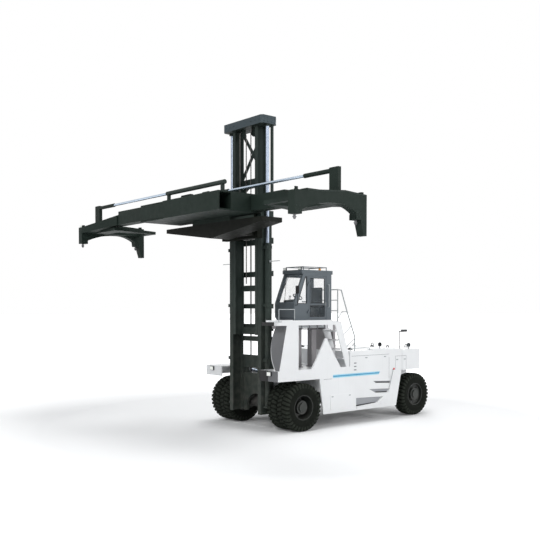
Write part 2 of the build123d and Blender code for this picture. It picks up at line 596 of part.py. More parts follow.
# Cab: floor, posts, roof and lower panels, hollow, with its windows cut
with BuildPart() as cab_shell:
    outline = [(CAB_BACK_X, PLATFORM_TOP), (CAB_NOSE_X - 120, PLATFORM_TOP),
               (CAB_NOSE_X, PLATFORM_TOP + 150),
               (CAB_NOSE_X, CAB_SILL), (CAB_TOP_X, CAB_ROOF - ROOF_T), (CAB_TOP_X + 60, CAB_ROOF - ROOF_T),
               (CAB_TOP_X + 60, CAB_ROOF), (CAB_BACK_X - 60, CAB_ROOF), (CAB_BACK_X - 60, CAB_ROOF - ROOF_T),
               (CAB_BACK_X, CAB_ROOF - ROOF_T)]
    side_plate(outline, CAB_IN_Y, CAB_OUT_Y)
    # Roof slab, wider than the cab, with a drip edge
    with BuildSketch(PLAN.offset(CAB_ROOF - ROOF_T / 2)) as slab:
        with Locations(((CAB_BACK_X + CAB_TOP_X) / 2, (CAB_IN_Y + CAB_OUT_Y) / 2)):
            RectangleRounded(CAB_TOP_X - CAB_BACK_X + 2 * ROOF_OVER, CAB_OUT_Y - CAB_IN_Y + 2 * EAVE,
                             ROOF_OVER)
    extrude(slab.sketch, amount=ROOF_T / 2)
    side_plate([(CAB_BACK_X + CAB_T, CAB_FLOOR + 30), (CAB_NOSE_X - 130, CAB_FLOOR + 30),
                (CAB_NOSE_X - CAB_T, PLATFORM_TOP + 180), (CAB_NOSE_X - CAB_T, CAB_SILL - 10),
                (CAB_TOP_X - CAB_T, CAB_ROOF - ROOF_T), (CAB_BACK_X + CAB_T, CAB_ROOF - ROOF_T)],
               CAB_IN_Y + CAB_T, CAB_OUT_Y - CAB_T, mode=Mode.SUBTRACT)
    # Inner side window
    side_plate([(CAB_BACK_X + 160, CAB_SILL), (CAB_NOSE_X - 160, CAB_SILL),
                (CAB_TOP_X - 110, CAB_ROOF - 230),
                (CAB_BACK_X + 160, CAB_ROOF - 230)], CAB_IN_Y - 50, CAB_IN_Y + CAB_T + 50,
                mode=Mode.SUBTRACT)
    # Door opening, windscreen and rear window
    hollow((DOOR_FREE_X - RUN, DOOR_HINGE_X + RUN), (CAB_OUT_Y - CAB_T - 50, CAB_OUT_Y + 50),
           (CAB_FLOOR + 30, CAB_ROOF - 200))
    side_plate([(DOOR_HINGE_X + 80, CAB_SILL), (CAB_NOSE_X - 160, CAB_SILL),
                (CAB_TOP_X - 110, CAB_ROOF - 230),
                (DOOR_HINGE_X + 80, CAB_ROOF - 230)], CAB_OUT_Y - CAB_T - 50, CAB_OUT_Y + 50,
                mode=Mode.SUBTRACT)
    # Hinge leaves and pins of the door
    for z in HINGE_Z:
        block((DOOR_HINGE_X - HINGE_PIN_R, DOOR_HINGE_X + 70), (CAB_OUT_Y, CAB_OUT_Y + 2 * HINGE_OUT),
              (z - 60, z))
        rod((DOOR_HINGE_X, CAB_OUT_Y + HINGE_OUT, z - 60), (DOOR_HINGE_X, CAB_OUT_Y + HINGE_OUT, z + 60),
            HINGE_PIN_R)
    hollow((CAB_TOP_X - 200, CAB_NOSE_X + 50), (CAB_IN_Y + 80, CAB_OUT_Y - 80),
           (CAB_SILL + 40, CAB_ROOF - ROOF_T - 60))
    hollow((CAB_BACK_X - 10, CAB_BACK_X + CAB_T + 10), (CAB_IN_Y + 110, CAB_OUT_Y - 110),
           (CAB_SILL, CAB_ROOF - 230))
save(cab_shell.part, "cab_shell")

with BuildPart() as cab_glass:
    side_plate([(CAB_BACK_X + 160, CAB_SILL), (CAB_NOSE_X - 160, CAB_SILL),
                (CAB_TOP_X - 110, CAB_ROOF - 230),
                (CAB_BACK_X + 160, CAB_ROOF - 230)], CAB_IN_Y + 25, CAB_IN_Y + 31)
    block((CAB_BACK_X + 25, CAB_BACK_X + 31), (CAB_IN_Y + 110, CAB_OUT_Y - 110), (CAB_SILL, CAB_ROOF - 230))
    side_plate([(DOOR_HINGE_X + 80, CAB_SILL), (CAB_NOSE_X - 160, CAB_SILL),
                (CAB_TOP_X - 110, CAB_ROOF - 230),
                (DOOR_HINGE_X + 80, CAB_ROOF - 230)], CAB_OUT_Y - 31, CAB_OUT_Y - 25)
    lean = (CAB_TOP_X - CAB_NOSE_X) / (CAB_ROOF - ROOF_T - CAB_SILL)
    side_plate([(CAB_NOSE_X - 36 + lean * 40, CAB_SILL + 40), (CAB_NOSE_X - 30 + lean * 40, CAB_SILL + 40),
                (CAB_TOP_X - 30 - lean * 60, CAB_ROOF - ROOF_T - 60),
                (CAB_TOP_X - 36 - lean * 60, CAB_ROOF - ROOF_T - 60)],
               CAB_IN_Y + 80, CAB_OUT_Y - 80)
save(cab_glass.part, "cab_glass")

with BuildPart() as cab_door:
    block((DOOR_FREE_X, DOOR_HINGE_X), (CAB_OUT_Y - 5 - DOOR_T, CAB_OUT_Y - 5),
          (CAB_FLOOR + 40, CAB_ROOF - 210))
    for z_low, z_high in ((CAB_FLOOR + 110, CAB_SILL - DOOR_EDGE), (CAB_SILL, CAB_ROOF - 280)):
        hollow((DOOR_FREE_X + DOOR_EDGE, DOOR_HINGE_X - DOOR_EDGE), (CAB_OUT_Y - 60, CAB_OUT_Y),
               (z_low, z_high))
    for z in HINGE_Z:
        with BuildSketch(Plane((AX + DOOR_HINGE_X, CAB_OUT_Y + HINGE_OUT, z + FIT))) as knuckle_ring:
            Circle(HINGE_PIN_R + 8)
            with Locations((-35, -HINGE_OUT / 2 - 1)):
                Rectangle(70, HINGE_OUT + 8)
            Circle(HINGE_PIN_R + FIT, mode=Mode.SUBTRACT)
        extrude(knuckle_ring.sketch, amount=60 - 2 * FIT)
save(cab_door.part, "cab_door")

with BuildPart() as door_glass:
    for z_low, z_high in ((CAB_FLOOR + 110, CAB_SILL - DOOR_EDGE), (CAB_SILL, CAB_ROOF - 280)):
        block((DOOR_FREE_X + DOOR_EDGE, DOOR_HINGE_X - DOOR_EDGE), (CAB_OUT_Y - 28, CAB_OUT_Y - 22),
              (z_low, z_high))
save(door_glass.part, "door_glass")

with BuildPart() as seat:
    block((-1850, -1350), (CAB_IN_Y + 250, CAB_OUT_Y - 270), (CAB_FLOOR + 420, CAB_FLOOR + 560))
    block((-1950, -1830), (CAB_IN_Y + 250, CAB_OUT_Y - 270), (CAB_FLOOR + 420, CAB_FLOOR + 1150))
    block((-1800, -1420), (CAB_IN_Y + 300, CAB_OUT_Y - 320), (CAB_FLOOR + 30, CAB_FLOOR + 420))
save(seat.part, "seat")

with BuildPart() as controls:
    block((-760, -520), (CAB_IN_Y + 250, CAB_OUT_Y - 270), (CAB_FLOOR + 30, CAB_FLOOR + 700))
    rod((-760, 700, CAB_FLOOR + 500), (-960, 700, CAB_FLOOR + 820), 35)
    rod((-955, 700, CAB_FLOOR + 812), (-975, 700, CAB_FLOOR + 844), 190)
save(controls.part, "controls")

# Bars over the roof glass, in front of the windscreen's top and along the sides
with BuildPart() as roof_guard:
    for x in (CAB_BACK_X + 200, CAB_TOP_X - 60):
        rail([(x, CAB_IN_Y + 60, CAB_ROOF), (x, CAB_IN_Y + 60, CAB_ROOF + GUARD_H),
              (x, CAB_OUT_Y - 60, CAB_ROOF + GUARD_H), (x, CAB_OUT_Y - 60, CAB_ROOF)], GUARD_R)
    for y in (CAB_IN_Y + 60, (CAB_IN_Y + CAB_OUT_Y) / 2, CAB_OUT_Y - 60):
        rod((CAB_BACK_X + 200, y, CAB_ROOF + GUARD_H), (CAB_TOP_X - 60, y, CAB_ROOF + GUARD_H),
            THIN * GUARD_R)
save(roof_guard.part, "roof_guard")

# Mirrors and the lamps' stalks on the hood and the platform
with BuildPart() as mirrors:
    for s in (1, -1):
        for x, z in ((LID_X[0] + 90, HOOD_Z + LID_H), (BODY_REAR_X - 660, HOOD_Z - 40)):
            rod((x, s * 1780, z), (x, s * 1780, z + 150), 12)
            rod((x - 25, s * 1780, z + 150), (x + 15, s * 1780, z + 150), 75)
    rod((POLE_X, 1500, HOOD_Z - 40), (POLE_X, 1500, HOOD_Z + 620), 12)
    block((POLE_X - 400, POLE_X + 20), (1470, 1530), (HOOD_Z + 600, HOOD_Z + 630))
    # Driver's mirror on an arm at the cab's front corner
    rail([(CAB_NOSE_X - 40, CAB_OUT_Y, CAB_SILL - 60), (CAB_NOSE_X - 40, CAB_OUT_Y + 120, CAB_SILL - 60),
          (CAB_NOSE_X - 40, CAB_OUT_Y + 120, CAB_SILL + 330)], 12)
    block((CAB_NOSE_X - 55, CAB_NOSE_X - 25), (CAB_OUT_Y + 40, CAB_OUT_Y + 200),
          (CAB_SILL + 330, CAB_SILL + 600))
save(mirrors.part, "mirrors")

with BuildPart() as lamps:
    # Work lamps on the roof's front edge and on the platform, rear lamp on its pole, tail lamps
    for y in (CAB_IN_Y + 120, CAB_OUT_Y - 120):
        block((CAB_TOP_X + 20, CAB_TOP_X + 75), (y - 70, y + 70), (CAB_ROOF, CAB_ROOF + 90))
    block((POLE_X - 380, POLE_X - 140), (1440, 1560), (HOOD_Z + 630, HOOD_Z + 690))
    for s in (1, -1):
        block((FENDER_FRONT_X, FENDER_FRONT_X + 60), across((1500, 1700), s), (DECK_Z - 170, DECK_Z - 30))
        block((-REACH_REAR, -REACH_REAR + LAMP_T - FIT), across((700, 900), s),
              (COUNTER_LOW + 200, COUNTER_LOW + 560))
save(lamps.part, "lamps")

# Wheels
for s, hand in ((1, "left"), (-1, "right")):
    with BuildPart() as twin:
        tyre(0, s, TWIN_OUTER_Y)
        tyre(0, s, TWIN_OUTER_Y - TWIN_PITCH)
    save(twin.part, f"front_tyres_{hand}")
    with BuildPart() as front_rim:
        rim(0, s, TWIN_OUTER_Y - TWIN_PITCH - TYRE_W, TWIN_OUTER_Y, 1500, 1200, 1990)
        rod((0, s * 1190, TYRE_R), (0, s * 1760.3, TYRE_R), SPINDLE_R + FIT, mode=Mode.SUBTRACT)
    save(front_rim.part, f"front_rim_{hand}")
    with BuildPart() as rear_tyre:
        tyre(-WHEELBASE, s, REAR_OUTER_Y)
    save(rear_tyre.part, f"rear_tyre_{hand}")
    with BuildPart() as rear_rim:
        rim(-WHEELBASE, s, REAR_OUTER_Y - TYRE_W, REAR_OUTER_Y, 1640, 1560, 1820)
        rod((-WHEELBASE, s * 1550, TYRE_R), (-WHEELBASE, s * 1740.3, TYRE_R), SPINDLE_R + FIT,
            mode=Mode.SUBTRACT)
    save(rear_rim.part, f"rear_rim_{hand}")
    with BuildPart() as knuckle:
        half = KNUCKLE_H / 2 - FIT
        with BuildSketch(Plane((AX - WHEELBASE, s * KINGPIN_Y, TYRE_R - half))) as body:
            Circle(105)
        extrude(body.sketch, amount=2 * half)
        ring(-WHEELBASE, TYRE_R, *across((KINGPIN_Y, 1740), s), SPINDLE_R)
        rod((-WHEELBASE, s * KINGPIN_Y, TYRE_R - half - 1), (-WHEELBASE, s * KINGPIN_Y, TYRE_R + half + 1),
            KINGPIN_R + FIT, mode=Mode.SUBTRACT)
    save(knuckle.part, f"knuckle_{hand}")

# Outer mast, hung on the axle tube
with BuildPart() as outer_mast:
    for s in (1, -1):
        y = across((OUTER_IN_Y, OUTER_WEB_Y), s)
        block((OUTER_BACK_X, OUTER_FRONT_X), across((OUTER_WEB_Y - MAST_T, OUTER_WEB_Y), s),
              (MAST_LOW, OUTER_TOP))
        block((OUTER_BACK_X, OUTER_BACK_X + MAST_T), y, (MAST_LOW, OUTER_TOP))
        block((OUTER_FRONT_X - MAST_T, OUTER_FRONT_X), y, (MAST_LOW, OUTER_TOP))
        # Hanger ring about the axle tube
        h = across((OUTER_WEB_Y - 80, OUTER_WEB_Y), s)
        side_plate([(0, PIVOT_Z - HANGER_R + 50), (OUTER_BACK_X, PIVOT_Z - HANGER_R),
                    (OUTER_BACK_X, PIVOT_Z + 500),
                    (0, PIVOT_Z + HANGER_R - 50)], *h)
        ring(0, PIVOT_Z, *h, HANGER_R)
        rod((0, h[0] - 1, PIVOT_Z), (0, h[1] + 1, PIVOT_Z), AXLE_TUBE_R + FIT, mode=Mode.SUBTRACT)
        # Lift cylinder's foot and collar
        block((CYL_X - 110, CYL_X + 110), across((OUTER_WEB_Y, CYL_Y + BARREL_R), s),
              (BARREL_LOW - 60, BARREL_LOW))
        for y_ear in (TILT_Y - 90, TILT_Y + 60):
            side_plate([(OUTER_BACK_X, TILT_PIN_Z - 220), (OUTER_BACK_X, TILT_PIN_Z + 220),
                        (TILT_PIN_X - 70, TILT_PIN_Z + 70), (TILT_PIN_X - 70, TILT_PIN_Z - 70)],
                       *across((y_ear, y_ear + 30), s))
        ring(TILT_PIN_X, TILT_PIN_Z, *across((TILT_Y - 90, TILT_Y + 90), s), TILT_PIN_R)
    for z_low, z_high in ((1220, 1840), (2030, 2470), (2960, 3130), (3330, 3560), (4100, 4260),
                          (5200, 5380), (6300, 6500), (7150, OUTER_TOP)):
        block((300, OUTER_BACK_X), (-OUTER_WEB_Y, OUTER_WEB_Y), (z_low, z_high))
    # Foot plate, arched over the axle's nose
    with BuildSketch(CROSS.offset(300)) as foot:
        with BuildLine():
            Polyline((-FOOT_ARCH_Y, MAST_LOW), (-OUTER_WEB_Y, MAST_LOW), (-OUTER_WEB_Y, 1221),
                     (OUTER_WEB_Y, 1221),
                     (OUTER_WEB_Y, MAST_LOW), (FOOT_ARCH_Y, MAST_LOW))
            ThreePointArc((FOOT_ARCH_Y, MAST_LOW), (0, MAST_LOW + FOOT_ARCH_H), (-FOOT_ARCH_Y, MAST_LOW))
        make_face()
    extrude(foot.sketch, amount=OUTER_BACK_X - 300)
    # Collars that hold the lift cylinders to the channels
    for s in (1, -1):
        for z in COLLAR_Z:
            block((CYL_X - BARREL_R - 25, CYL_X + BARREL_R + 25),
                  across((OUTER_WEB_Y, CYL_Y + BARREL_R + 15), s),
                  (z, z + 110))
            rod((CYL_X, s * CYL_Y, z - 1), (CYL_X, s * CYL_Y, z + 111), BARREL_R + FIT, mode=Mode.SUBTRACT)
save(outer_mast.part, "outer_mast")

with BuildPart() as lift_barrels:
    for s in (1, -1):
        rod((CYL_X, s * CYL_Y, BARREL_LOW), (CYL_X, s * CYL_Y, BARREL_TOP), BARREL_R)
        rod((CYL_X, s * CYL_Y, BARREL_TOP - 80), (CYL_X, s * CYL_Y, BARREL_TOP), BARREL_R + GLAND)
        rod((CYL_X, s * CYL_Y, BARREL_LOW + 60), (CYL_X, s * CYL_Y, BARREL_TOP + 1), LIFT_ROD_R + FIT,
            mode=Mode.SUBTRACT)
save(lift_barrels.part, "lift_barrels")

with BuildPart() as inner_mast:
    for s in (1, -1):
        y = across((INNER_IN_Y, INNER_OUT_Y), s)
        block((INNER_BACK_X, OUTER_FRONT_X), across((590, 590 + MAST_T), s), (INNER_LOW, CROWN_LOW))
        block((INNER_BACK_X, INNER_BACK_X + MAST_T), y, (INNER_LOW, CROWN_LOW))
        block((OUTER_FRONT_X - MAST_T, OUTER_FRONT_X), y, (INNER_LOW, CROWN_LOW))
        roll = (OUTER_FRONT_X - OUTER_BACK_X) / 2 - MAST_T - FIT
        ring((OUTER_FRONT_X + OUTER_BACK_X) / 2, INNER_LOW + 260,
             *across((635, OUTER_WEB_Y - MAST_T - RUN), s), 90)
        ring((OUTER_FRONT_X + OUTER_BACK_X) / 2, INNER_LOW + 260,
             *across((OUTER_IN_Y + 60, OUTER_WEB_Y - MAST_T - RUN), s), roll)
    for z_low, z_high in ((INNER_LOW, INNER_LOW + 250), (4700, 4900), (6500, 6700),
                          (BRACE_Z[0] - 330, BRACE_Z[0] - 20)):
        block((400, INNER_BACK_X + MAST_T), (-INNER_OUT_Y, INNER_OUT_Y), (z_low, z_high))
    # Brace of two crossed bars under the crown
    for s in (1, -1):
        cross_plate([(-s * 560, BRACE_Z[0]), (-s * 560, BRACE_Z[0] + 150), (s * 560, BRACE_Z[1]),
                     (s * 560, BRACE_Z[1] - 150)], 440, 500)
        # Quarter-round gussets under the broad plate
        with BuildSketch(CROSS.offset(430)) as web:
            with BuildLine():
                Polyline((s * 590, BRACE_Z[0] - 330), (s * 590, BRACE_Z[0] - 900),
                         (s * 545, BRACE_Z[0] - 900))
                ThreePointArc((s * 545, BRACE_Z[0] - 900), (s * 460, BRACE_Z[0] - 480),
                              (s * 250, BRACE_Z[0] - 330))
                Line((s * 250, BRACE_Z[0] - 330), (s * 590, BRACE_Z[0] - 330))
            make_face()
        extrude(web.sketch, amount=60)
        # Hose guide outside the channel, and the bracket that takes the lift rod
        block((400, 490), across((930, 990), s), (GUIDE_LOW, CROWN_LOW))
        block((CYL_X - 80, CYL_X + 80), across((CYL_Y - 75, CYL_Y + 75), s), (CROWN_LOW - 60, CROWN_LOW))
    with BuildSketch(PLAN.offset(CROWN_LOW)) as crown:
        with Locations((CROWN_X, 0)):
            Rectangle(CROWN_DEPTH, 2 * CROWN_Y)
        chamfer(crown.vertices(), 70)
    extrude(crown.sketch, amount=CROWN_TOP - CROWN_LOW)
    for s in (1, -1):
        # Chain sheave on its axle, hung from the crown
        ring(SHEAVE_X, SHEAVE_Z, *across((CHAIN_Y - 18, CHAIN_Y + 18), s), SHEAVE_R)
        ring(SHEAVE_X, SHEAVE_Z, *across((CHAIN_Y - 70, CHAIN_Y + 70), s), 25)
        for y in (CHAIN_Y - 70, CHAIN_Y + 40):
            block((SHEAVE_X - 60, SHEAVE_X + 60), across((y, y + 30), s), (SHEAVE_Z - 60, CROWN_LOW))
save(inner_mast.part, "inner_mast")

# Lift chains, one loop over each sheave
with BuildPart() as lift_chains:
    for s in (1, -1):
        y = across((CHAIN_Y - 15, CHAIN_Y + 15), s)
        ring(SHEAVE_X, SHEAVE_Z, *y, SHEAVE_R + CHAIN_T, SHEAVE_R + FIT)
        hollow((SHEAVE_X - 300, SHEAVE_X + 300), across((CHAIN_Y - 20, CHAIN_Y + 20), s),
               (SHEAVE_Z - 300, SHEAVE_Z))
        for low, foot in ((SHEAVE_R + FIT, CHAIN_FRONT_LOW), (-SHEAVE_R - CHAIN_T, CHAIN_BACK_LOW)):
            block((SHEAVE_X + low, SHEAVE_X + low + CHAIN_T - FIT), y, (foot, SHEAVE_Z))
save(lift_chains.part, "lift_chains")

with BuildPart() as lift_rods:
    for s in (1, -1):
        rod((CYL_X, s * CYL_Y, LIFT_ROD_LOW), (CYL_X, s * CYL_Y, CROWN_LOW - 60), LIFT_ROD_R)
save(lift_rods.part, "lift_rods")

# Tilt cylinders between the frame's ears and the mast's ears
reach = Vector(TILT_PIN_X - TILT_BASE_X, 0, TILT_PIN_Z - TILT_BASE_Z)
u = reach.normalized()
with BuildPart() as tilt_barrels:
    for s in (1, -1):
        ring(TILT_BASE_X, TILT_BASE_Z, *across((TILT_Y - 55, TILT_Y + 55), s), 80)
        rod((TILT_BASE_X + u.X * 60, s * TILT_Y, TILT_BASE_Z + u.Z * 60),
            (TILT_BASE_X + u.X * 180, s * TILT_Y, TILT_BASE_Z + u.Z * 180), 50)
        rod((TILT_BASE_X + u.X * 170, s * TILT_Y, TILT_BASE_Z + u.Z * 170),
            (TILT_BASE_X + u.X * 1250, s * TILT_Y, TILT_BASE_Z + u.Z * 1250), TILT_BARREL_R)
        rod((TILT_BASE_X + u.X * 1180, s * TILT_Y, TILT_BASE_Z + u.Z * 1180),
            (TILT_BASE_X + u.X * 1250, s * TILT_Y, TILT_BASE_Z + u.Z * 1250), TILT_BARREL_R + TILT_GLAND)
        rod((TILT_BASE_X + u.X * 300, s * TILT_Y, TILT_BASE_Z + u.Z * 300),
            (TILT_BASE_X + u.X * 1251, s * TILT_Y, TILT_BASE_Z + u.Z * 1251), TILT_ROD_R + FIT,
            mode=Mode.SUBTRACT)
        rod((TILT_BASE_X, s * (TILT_Y - 56), TILT_BASE_Z), (TILT_BASE_X, s * (TILT_Y + 56), TILT_BASE_Z),
            TILT_PIN_R + FIT, mode=Mode.SUBTRACT)
save(tilt_barrels.part, "tilt_barrels")

with BuildPart() as tilt_rods:
    for s in (1, -1):
        rod((TILT_BASE_X + u.X * 560, s * TILT_Y, TILT_BASE_Z + u.Z * 560),
            (TILT_PIN_X - u.X * 60, s * TILT_Y, TILT_PIN_Z - u.Z * 60), TILT_ROD_R)
        ring(TILT_PIN_X, TILT_PIN_Z, *across((TILT_Y - 50, TILT_Y + 50), s), 80)
        rod((TILT_PIN_X, s * (TILT_Y - 51), TILT_PIN_Z), (TILT_PIN_X, s * (TILT_Y + 51), TILT_PIN_Z),
            TILT_PIN_R + 6, mode=Mode.SUBTRACT)
save(tilt_rods.part, "tilt_rods")

# Carriage and the spreader's main frame
with BuildPart() as carriage:
    for s in (1, -1):
        block((600, CARRIAGE_FRONT_X), across((470, 520), s), (CARRIAGE_LOW, CARRIAGE_TOP))
        block((CARRIAGE_X, CARRIAGE_FRONT_X), across((520, 640), s), (CARRIAGE_LOW, CARRIAGE_TOP))
        for z in (CARRIAGE_LOW + 190, CARRIAGE_TOP - 190):
            roll = (OUTER_FRONT_X - INNER_BACK_X) / 2 - MAST_T - FIT
            ring((OUTER_FRONT_X + INNER_BACK_X) / 2, z, *across((500, 580), s), roll)
    for z_low, z_high in ((CARRIAGE_LOW, CARRIAGE_LOW + 300), (CARRIAGE_TOP - 300, CARRIAGE_TOP)):
        block((CARRIAGE_X, CARRIAGE_FRONT_X), (-CARRIAGE_Y, CARRIAGE_Y), (z_low, z_high))
    # Forks that hold the chains' ends, tied to the upper plate
    for s in (1, -1):
        for y in (CHAIN_Y - 45, CHAIN_Y + 27):
            block((SHEAVE_X + SHEAVE_R - 20, CARRIAGE_X), across((y, y + 18), s),
                  (CARRIAGE_TOP - 280, CARRIAGE_TOP - 160))
save(carriage.part, "carriage")

arm_front = SPREAD_X + ARM_PITCH / 2
arm_back = SPREAD_X - ARM_PITCH / 2
frame_front = arm_front + ARM_W / 2 + RUN + FRAME_T
frame_back = arm_back - ARM_W / 2 - RUN - FRAME_T
spine_front = arm_front - ARM_W / 2 - RUN
spine_back = arm_back + ARM_W / 2 + RUN
end_in = CORNER_Y - END_T / 2
end_out = CORNER_Y + END_T / 2

with BuildPart() as spreader_frame:
    # Floor and roof plates, short of the arms' outer faces where the flares pass by
    floor_form = [(frame_back, -FRAME_Y), (frame_back, COVER_Y), (frame_back + 60, COVER_Y),
                  (frame_back + 60, FRAME_Y), (frame_front, FRAME_Y), (frame_front, -COVER_Y),
                  (frame_front - 60, -COVER_Y), (frame_front - 60, -FRAME_Y)]
    for z in (FRAME_BASE, FRAME_TOP - FRAME_T):
        plan_plate(floor_form, z, z + FRAME_T)
    for x in (spine_back, spine_front - FRAME_T):
        block((x, x + FRAME_T), (-FRAME_Y, FRAME_Y), (FRAME_BASE, FRAME_TOP))
    for y in (-FRAME_Y, FRAME_Y - FRAME_T):
        block((spine_back, spine_front), (y, y + FRAME_T), (FRAME_BASE, FRAME_TOP))
    block((frame_front - FRAME_T, frame_front), (-COVER_Y, FRAME_Y), (FRAME_BASE, FRAME_TOP))
    block((frame_back, frame_back + FRAME_T), (-FRAME_Y, COVER_Y), (FRAME_BASE, FRAME_TOP))
    for s, mid in ((1, arm_back), (-1, arm_front)):
        # Wear pads in the mouth of each guide
        for z in (ARM_LOW - RUN, ARM_TOP + FIT):
            block((mid - ARM_W / 2 + 20, mid + ARM_W / 2 - 20), across((FRAME_Y - 250, FRAME_Y), s),
                  (z, z + RUN - FIT))
    for s in (1, -1):
        block((CARRIAGE_FRONT_X, frame_back + FRAME_T), across(HANG_Y, s), (UNDER_LOW, FRAME_TOP - FRAME_T))
    cross_plate([(-BELLY_Y, UNDER_LOW - RUN), (-BELLY_Y, BELLY_TIP_Z), (0, BELLY_MID_Z),
                 (BELLY_Y, BELLY_TIP_Z),
                 (BELLY_Y, UNDER_LOW - RUN), (UNDER_Y - STROKE - 30, UNDER_LOW - RUN),
                 (UNDER_Y - STROKE - 30, FRAME_BASE), (STROKE - UNDER_Y + 30, FRAME_BASE),
                 (STROKE - UNDER_Y + 30, UNDER_LOW - RUN)], *BELLY_X)
    block((CARRIAGE_FRONT_X, BELLY_X[0]), (-HANG_Y[1], HANG_Y[1]), (CARRIAGE_LOW + 80, CARRIAGE_LOW + 300))
    # Valve box, hose reel and side lugs
    block((spine_back + 80, spine_front - 80), (-520, -60), (FRAME_TOP, FRAME_TOP + 190))
    with BuildSketch(SIDE.offset(-620)) as reel:
        with Locations(((spine_back + spine_front) / 2, FRAME_TOP + REEL_R - 20)):
            Circle(REEL_R)
    extrude(reel.sketch, amount=260)
    for y in (-1900, -1450, 1450, 1900):
        block((spine_back - 5, spine_back + 90), (y, y + 60), (FRAME_TOP, FRAME_TOP + 70))
save(spreader_frame.part, "spreader_frame")

with BuildPart() as extension_barrels:
    for s, mid in ((1, arm_back), (-1, arm_front)):
        tail = EXT_ROD_IN - STROKE - 14
        rod((mid, s * (tail - 40), EXT_Z), (mid, s * EXT_MOUTH, EXT_Z), EXT_BARREL_R)
        for y in (tail + 40, EXT_MOUTH - 140):
            block((mid - 50, mid + 50), across((y, y + 80), s), (FRAME_TOP, EXT_Z))
        rod((mid, s * tail, EXT_Z), (mid, s * (EXT_MOUTH + 1), EXT_Z), EXT_ROD_R + FIT, mode=Mode.SUBTRACT)
save(extension_barrels.part, "extension_barrels")

